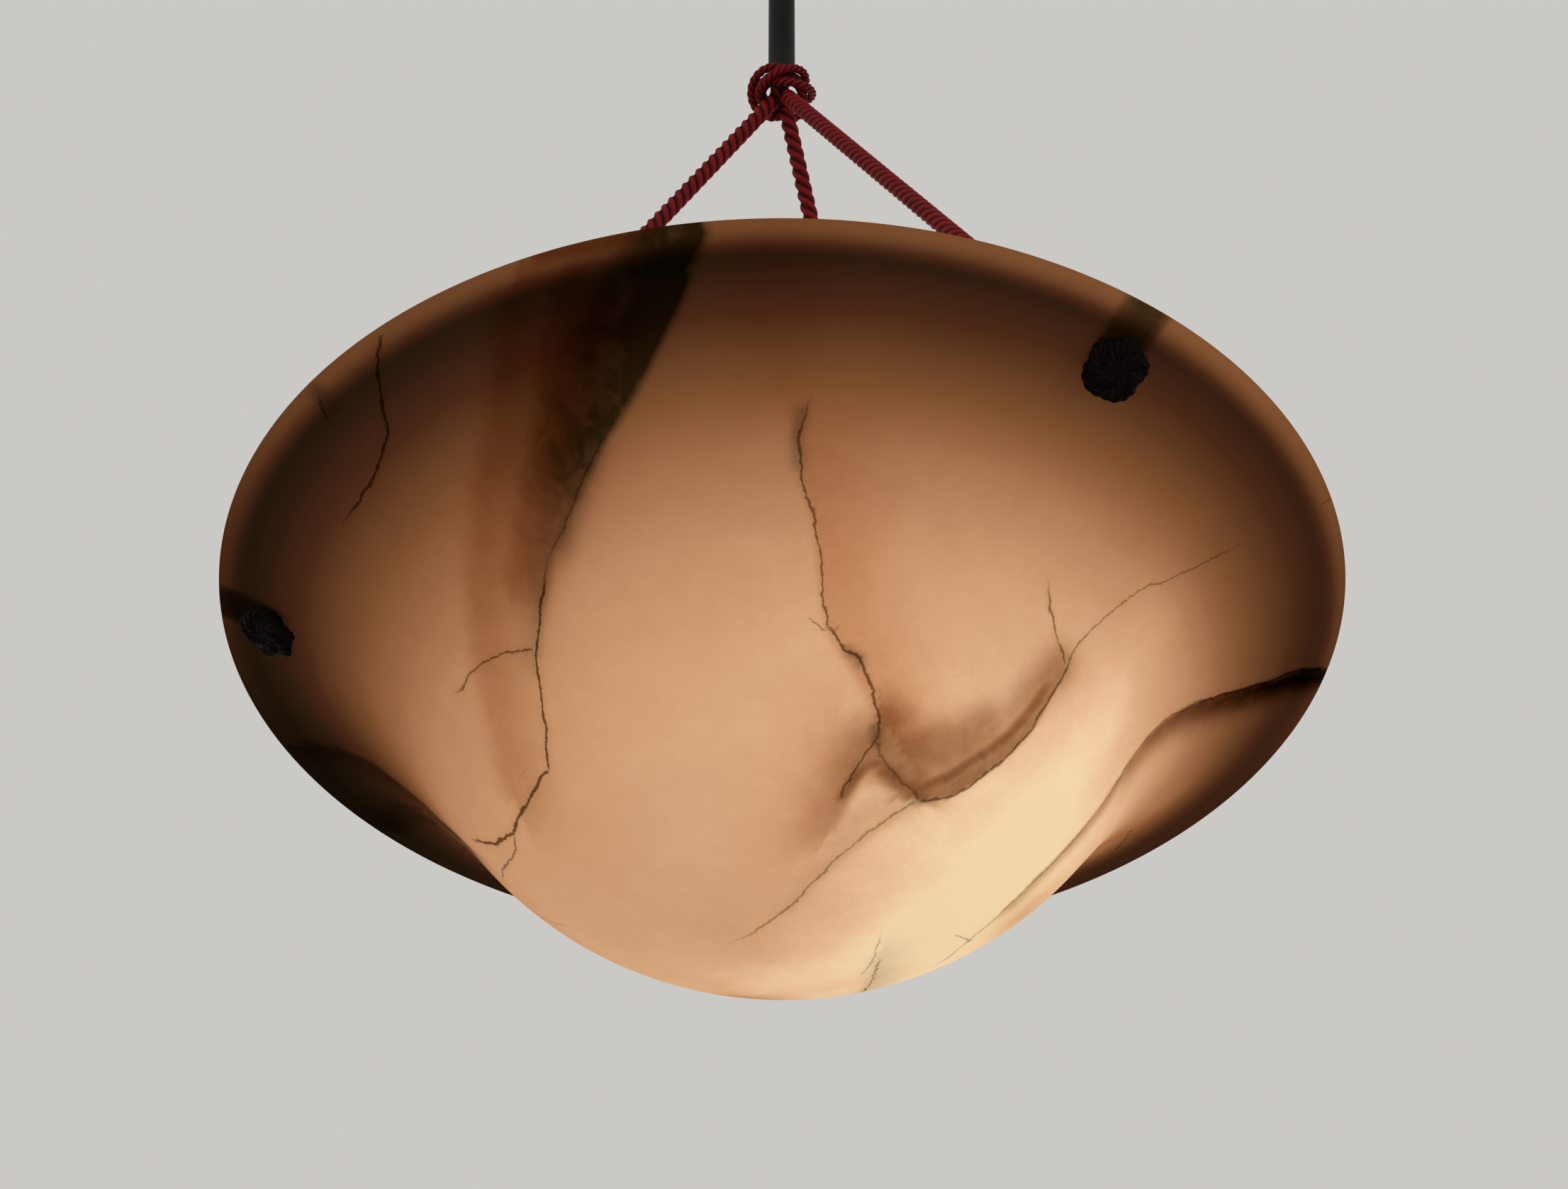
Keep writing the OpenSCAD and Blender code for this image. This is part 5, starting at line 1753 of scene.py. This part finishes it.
@dataclass(frozen=True)
class HangingCords:
    """Three laid cords from the gathered ends to their rosettes, with the big knot between."""

    radius: float = 3.0
    pitch: float = 14.0
    start: float = 7.5
    rosette_at: float = 313.82
    tip_beyond: float = 0.6
    knot_drop: float = 0.5
    columns: int = 36
    row_step: float = 0.75
    tip_rows: int = 7
    core_radius: float = 8.9
    core_height: float = 2.3
    core_edge: float = 0.5
    core_rows: int = 23
    core_columns: int = 72
    core_crown: float = 0.2
    rosette: TurksHead = TurksHead(5.3, 3.2, 1.8, 3, 5, strand=1.6, pitch=7.0)
    knot: TurksHead = TurksHead(9.3, 2.0, 4.1, 3, 4, strand=1.65, pitch=7.2)
    knot_core: tuple[float, float, float] = (7.6, 1.9, 3.4)
    knot_core_rows: int = 36
    knot_core_crown: float = 0.3

    def along(self, points: Array, bearing: float) -> Array:
        """Leans points out to where a cord goes.

        Args:
            points: Points drawn downwards from the meeting point of the cords.
            bearing: Bearing of the cord.

        Returns:
            The points in their place.
        """
        c, s = math.cos(CORD_LEAN), math.sin(CORD_LEAN)
        lean = np.array([[c, 0, s], [0, 1, 0], [-s, 0, c]])
        return turn_about_z(points @ lean, bearing) + [0, 0, HUB_Z]

    def cord(self, name: str, bearing: float) -> None:
        """Makes one cord with its rounded tip in the rosette.

        Args:
            name: Which cord it is.
            bearing: Its bearing, in degrees.
        """
        end = self.rosette_at + self.tip_beyond
        run = np.arange(self.start, end - self.radius, self.row_step)
        tip = np.linspace(0, np.pi / 2, self.tip_rows + 1)[:-1]
        run = np.concatenate([run, end - self.radius + self.radius * np.sin(tip)])
        size = np.ones(len(run))
        size[-len(tip):] = np.cos(tip)
        section = strands(run, self.columns, self.radius, self.pitch) * size[:, None]
        line = np.stack([0 * run, 0 * run, -run], -1)
        points = self.along(sweep(line, section, ALONG_Y, False), bearing)
        surface = Surface(points, along=run, fields=crowned(section, self.radius))
        hang(f"silk_cord_{name}", "bowl", f"cord_{name}", "silk_cord", BRIGHT_SILK, surface)

    def rosette_core(self) -> Surface:
        """Wound core that fills a rosette: a flattened ball with a squared off edge.

        Returns:
            The core, with its middle at the origin.
        """
        turn = np.linspace(-1, 1, self.core_rows + 2)[1:-1] * np.pi / 2
        radius = self.core_radius * np.cos(turn) ** self.core_edge
        points = lathe(np.stack([radius, self.core_height * np.sin(turn)], -1), self.core_columns)
        # Painted shade: the core, inside the knot, is darkened as a groove is.
        crown = np.full(points.shape[:2], self.core_crown)
        return Surface(points, along=turn * self.core_radius, fields={"crown": crown})

    def stopper(self, name: str, bearing: float) -> None:
        """Makes the round stopper knot on one cord's end, in the nearly black shaded copy of the
        silk.

        The near black is painted shade.

        Args:
            name: Which cord it is.
            bearing: Its bearing, in degrees.
        """
        knot, core = self.rosette.surface(), self.rosette_core()
        for surface in (knot, core):
            surface.points = self.along(surface.points - [0, 0, self.rosette_at], bearing)
        hang(f"shaded_silk_rosette_{name}", "bowl", f"rosette_{name}", "silk_cord", SHADED_SILK, knot, core)

    def big_knot(self) -> None:
        """Makes the big knot round its wound core."""
        ring, deep, high = self.knot_core
        turn = round_angles(self.knot_core_rows)
        rows = np.stack([ring + deep * np.cos(turn), high * np.sin(turn)], -1)
        points = lathe(rows, self.core_columns)
        # Painted shade: the core, inside the knot, is darkened as a groove is.
        crown = np.full(points.shape[:2], self.knot_core_crown)
        core = Surface(points, ring=True, fields={"crown": crown})
        knot = self.knot.surface()
        for surface in (knot, core):
            surface.points = surface.points + [0, 0, HUB_Z - self.knot_drop]
        hang("silk_knot", "bowl", "cord_knot", "silk_cord", BRIGHT_SILK, knot, core)

    def build(self) -> None:
        """Makes the cords, their rosettes and the big knot."""
        for name, bearing in BEARINGS.items():
            self.cord(name, bearing)
            self.stopper(name, bearing)
        self.big_knot()


@dataclass(frozen=True)
class GatheredEnds:
    """The cords' folded ends under the tie ring: a bound bundle with a loop of cord on top."""

    bottom_z: float = -174.9
    top_z: float = -172.0
    bottom_r: float = 6.0
    top_r: float = 5.0
    folds: int = 6
    fold_depth: float = 0.12
    fold_twist: float = 0.5
    fold_power: float = 0.7
    end_power: float = 8.0
    end_least: float = 0.2
    rows: int = 14
    columns: int = 96
    loop_radius: float = 3.2
    loop_wire: float = 1.0
    loop_z: float = -170.95
    loop_turn: float = 45.0
    loop_lays: int = 4
    loop_rows: int = 120
    loop_columns: int = 20

    def bundle(self) -> Surface:
        """The bound bundle, folded lengthwise, with rounded ends.

        Returns:
            The bundle in its place.
        """
        height, angle = np.linspace(0, 1, self.rows)[:, None], round_angles(self.columns)
        wave = np.abs(np.sin(self.folds * (angle + self.fold_twist * height) / 2))
        wave = wave**self.fold_power
        fold = 1 - self.fold_depth * wave
        ends = np.sqrt(np.clip(1 - (2 * height - 1) ** self.end_power, self.end_least, 1))
        radius = (self.bottom_r + (self.top_r - self.bottom_r) * height) * fold * ends
        tall = self.top_z - self.bottom_z
        points = polar(radius, angle, self.bottom_z + tall * height)
        # Painted shade: the crown value is lower in the folds.
        return Surface(points, along=height[:, 0] * tall, fields={"crown": 1 - wave})

    def loop(self) -> Surface:
        """The loop of laid cord that hangs in the tie ring.

        Returns:
            The loop in its place.
        """
        turn = round_angles(self.loop_rows)
        ring = self.loop_radius * np.stack([np.cos(turn), 0 * turn, np.sin(turn)], -1)
        reach = self.loop_radius * turn
        pitch = FULL_TURN * self.loop_radius / self.loop_lays
        section = strands(reach, self.loop_columns, self.loop_wire, pitch)
        points = turn_about_z(sweep(ring, section, ALONG_Y, True), self.loop_turn)
        points = points + [0, 0, self.loop_z]
        return Surface(points, ring=True, along=reach, fields=crowned(section, self.loop_wire))

    def build(self) -> None:
        """Makes the bundle and the loop, joined as one piece."""
        surfaces = self.bundle(), self.loop()
        hang("silk_gather", "bowl", "cord_gather", "silk_cord", BRIGHT_SILK, *surfaces)


@dataclass(frozen=True)
class FlexRun:
    """One stretch of the electric flex in its textile sleeve."""

    name: str
    body: str
    node: str
    corners: Points


@dataclass(frozen=True)
class Flex:
    """The thin flex, cut where it crosses a joint."""

    radius: float = 1.1
    bend: float = 9.0
    columns: int = 20
    crown: float = 0.75
    runs: tuple[FlexRun, ...] = (
        FlexRun("sleeve_top", "ceiling", "flex_top", ((-22, -13), (-22, -58), (-15.4, -62.3))),
        FlexRun("sleeve_stem", "stem", "flex_stem", ((-13.5, -63), (-3.15, -70), (-3.15, -165.85))),
        FlexRun("sleeve_knee", "tie_ring", "flex_knee", ((-3.15, -166.25), (-3.15, -169.8))),
        FlexRun("sleeve_lower", "bowl", "flex_lower", (
            (-3.15, -170.2), (-3.15, -175.41), (-139.974, -410.42), (-117.974, -426.124),
            (-30, -402.876), (0, -384), (0, -420.5),
        )),
    )

    def build(self) -> None:
        """Makes each stretch as a round tube."""
        for run in self.runs:
            line = rounded_way(run.corners, self.bend)
            section = np.full((len(line), self.columns), self.radius)
            points = sweep(line, section, ALONG_Y, False)
            fields = {"crown": np.full(section.shape, self.crown)}
            surface = Surface(points, along=lengths_along(line), fields=fields)
            hang(run.name, run.body, run.node, "flex_sleeve", FLEX_SLEEVE, surface)


# Canopy and lamp


@dataclass(frozen=True)
class Canopy:
    """Bell of thin spun metal, with a rolled rim and a turned step at its foot."""

    rim_radius: float = 58.0
    foot_radius: float = 12.0
    hole_radius: float = 5.4
    top_z: float = -3.0
    foot_z: float = -80.0
    wall: float = 1.2
    grooves: Points = ((0.35, 0.045), (0.3, 0.93))
    groove_width: float = 0.012
    foot_step: float = 0.3
    roll_rows: int = 5
    rows: int = 60
    columns: int = 192

    def build(self) -> None:
        """Makes the bell.

        Its radius falls from rim to foot as the cosine of a quarter turn. Each groove is told
        by its depth and by its share of the way down.
        """
        share = np.linspace(0, 1, self.rows)
        bell = np.cos(np.pi / 2 * share)
        outer = self.foot_radius + (self.rim_radius - self.foot_radius) * bell
        for depth, place in self.grooves:
            outer = outer - depth * np.exp(-(((share - place) / self.groove_width) ** 2))
        inner = self.foot_radius + (self.rim_radius - self.wall - self.foot_radius) * bell
        start, half = self.top_z - self.wall / 2, self.wall / 2
        turn = np.linspace(0, np.pi, self.roll_rows + 2)[1:-1]
        reach = self.rim_radius - half - half * np.cos(turn)
        roll = np.stack([reach, start + half * np.sin(turn)], -1)
        foot = self.foot_z + self.wall
        rows = np.concatenate([
            roll,
            np.stack([outer, start + (self.foot_z - start) * share], -1),
            [[self.foot_radius - self.foot_step, self.foot_z], [self.hole_radius, self.foot_z],
             [self.hole_radius, foot]],
            np.stack([inner, start + (foot - start) * share], -1)[::-1],
        ])
        surface = Surface(lathe(rows, self.columns), ring=True)
        hang("spun_canopy", "canopy", "canopy", "black_metal", SPUN_ENAMEL, surface)


@dataclass(frozen=True)
class Bulb:
    """Round frosted bulb with its rolled screw cap."""

    radius: float = 22.5
    middle_z: float = -481.708
    neck_radius: float = 12.5
    cap_radius: float = 13.1
    cap_bottom_z: float = -457.0
    cap_top_z: float = -438.2
    thread_pitch: float = 3.62
    thread_depth: float = 0.75
    thread_bottom: tuple[float, float] = (1.5, 3.5)
    thread_top: tuple[float, float] = (3.0, 1.5)
    shoulder_depth: float = 1.1
    shoulder_height: float = 2.2
    pole_angle: float = 0.02
    neck_angle: float = 0.35
    neck_from: float = 10.0
    neck_share: float = 0.93
    easing: float = 9.0
    ball_rows: int = 60
    neck_rows: int = 16
    cap_rows: int = 110
    columns: int = 96

    def build(self) -> None:
        """Makes the glass and the cap."""
        self.blow_glass()
        self.roll_cap()

    def eased(self, radius: Array) -> Array:
        """The larger of a radius and the neck's, with the corner between them eased.

        The two are added in a high power, and the root of the sum is taken.
        """
        least = self.neck_radius * self.neck_share
        return (radius**self.easing + least**self.easing) ** (1 / self.easing)

    def blow_glass(self) -> None:
        """A ball whose shoulder runs into the neck."""
        angle = np.linspace(self.pole_angle, np.pi - self.neck_angle, self.ball_rows)
        height = self.middle_z - self.radius * np.cos(angle)
        ball = np.stack([self.radius * np.sin(angle), height], -1)
        shoulder = ball[:, 1] > self.middle_z + self.neck_from
        ball[shoulder, 0] = self.eased(ball[shoulder, 0])
        height = np.linspace(ball[-1, 1], self.cap_bottom_z, self.neck_rows)
        half = np.sqrt(np.clip(self.radius**2 - (height - self.middle_z) ** 2, 0, None))
        neck = np.minimum(self.eased(half), self.neck_radius)
        rows = np.concatenate([ball, np.stack([neck, height], -1)[1:]])
        rows[:, 0] = np.minimum(rows[:, 0], self.radius)
        surface = Surface(lathe(rows, self.columns))
        hang("bulb_opal", "bulb", "bulb_glass", "opal_glass", LIT_GLASS, surface)

    def roll_cap(self) -> None:
        """A cap whose radius waves with the height less a share of the turn, as a thread."""
        height = np.linspace(self.cap_bottom_z, self.cap_top_z, self.cap_rows)[:, None]
        angle = round_angles(self.columns)
        phase = height / self.thread_pitch - angle / FULL_TURN
        low, high = self.thread_bottom
        inside = smooth(height, self.cap_bottom_z + low, self.cap_bottom_z + high)
        low, high = self.thread_top
        inside = inside * (1 - smooth(height, self.cap_top_z - low, self.cap_top_z - high))
        depth = self.thread_depth * inside * (0.5 - 0.5 * np.cos(FULL_TURN * phase))
        begun = self.cap_top_z - self.shoulder_height
        shoulder = self.shoulder_depth * smooth(height, begun, self.cap_top_z)
        surface = Surface(polar(self.cap_radius - depth - shoulder, angle, height))
        hang("bulb_screw_cap", "bulb", "bulb_cap", "nickel", SOLIDS["nickel"], surface)


# Carried over pieces


@dataclass(frozen=True)
class CarriedPieces:
    """The CAD nodes that keep their own meshes and get a finish by their material slot."""

    def dress(self, frame: dict) -> None:
        """Gives each node of the part the material of its slot.

        Args:
            frame: The loaded part.
        """
        finishes = SOLIDS | {
            "stone": STONE, "silk_cord": BRIGHT_SILK, "flex_sleeve": FLEX_SLEEVE,
            "opal_glass": LIT_GLASS,
        }
        for part in frame["record"]["subparts"]:
            node = frame["nodes"][part["node"]]
            material = finishes[part["material_slot"]].material()
            if not node.data.materials:
                node.data.materials.append(material)
            for slot in node.material_slots:
                slot.material = material
            log.info("%s: finished in %s", part["node"], part["material_slot"])


def main() -> None:
    """Builds the object and its studio in order."""
    logging.basicConfig(level=logging.INFO, format="%(message)s")
    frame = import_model()
    bpy.context.scene.view_settings.view_transform = "Standard"
    PhotoCamera().make()
    Studio().build()
    CarriedPieces().dress(frame)
    StoneBowl().build()
    HangingCords().build()
    GatheredEnds().build()
    Flex().build()
    Canopy().build()
    Bulb().build()


if __name__ == "__main__":
    main()
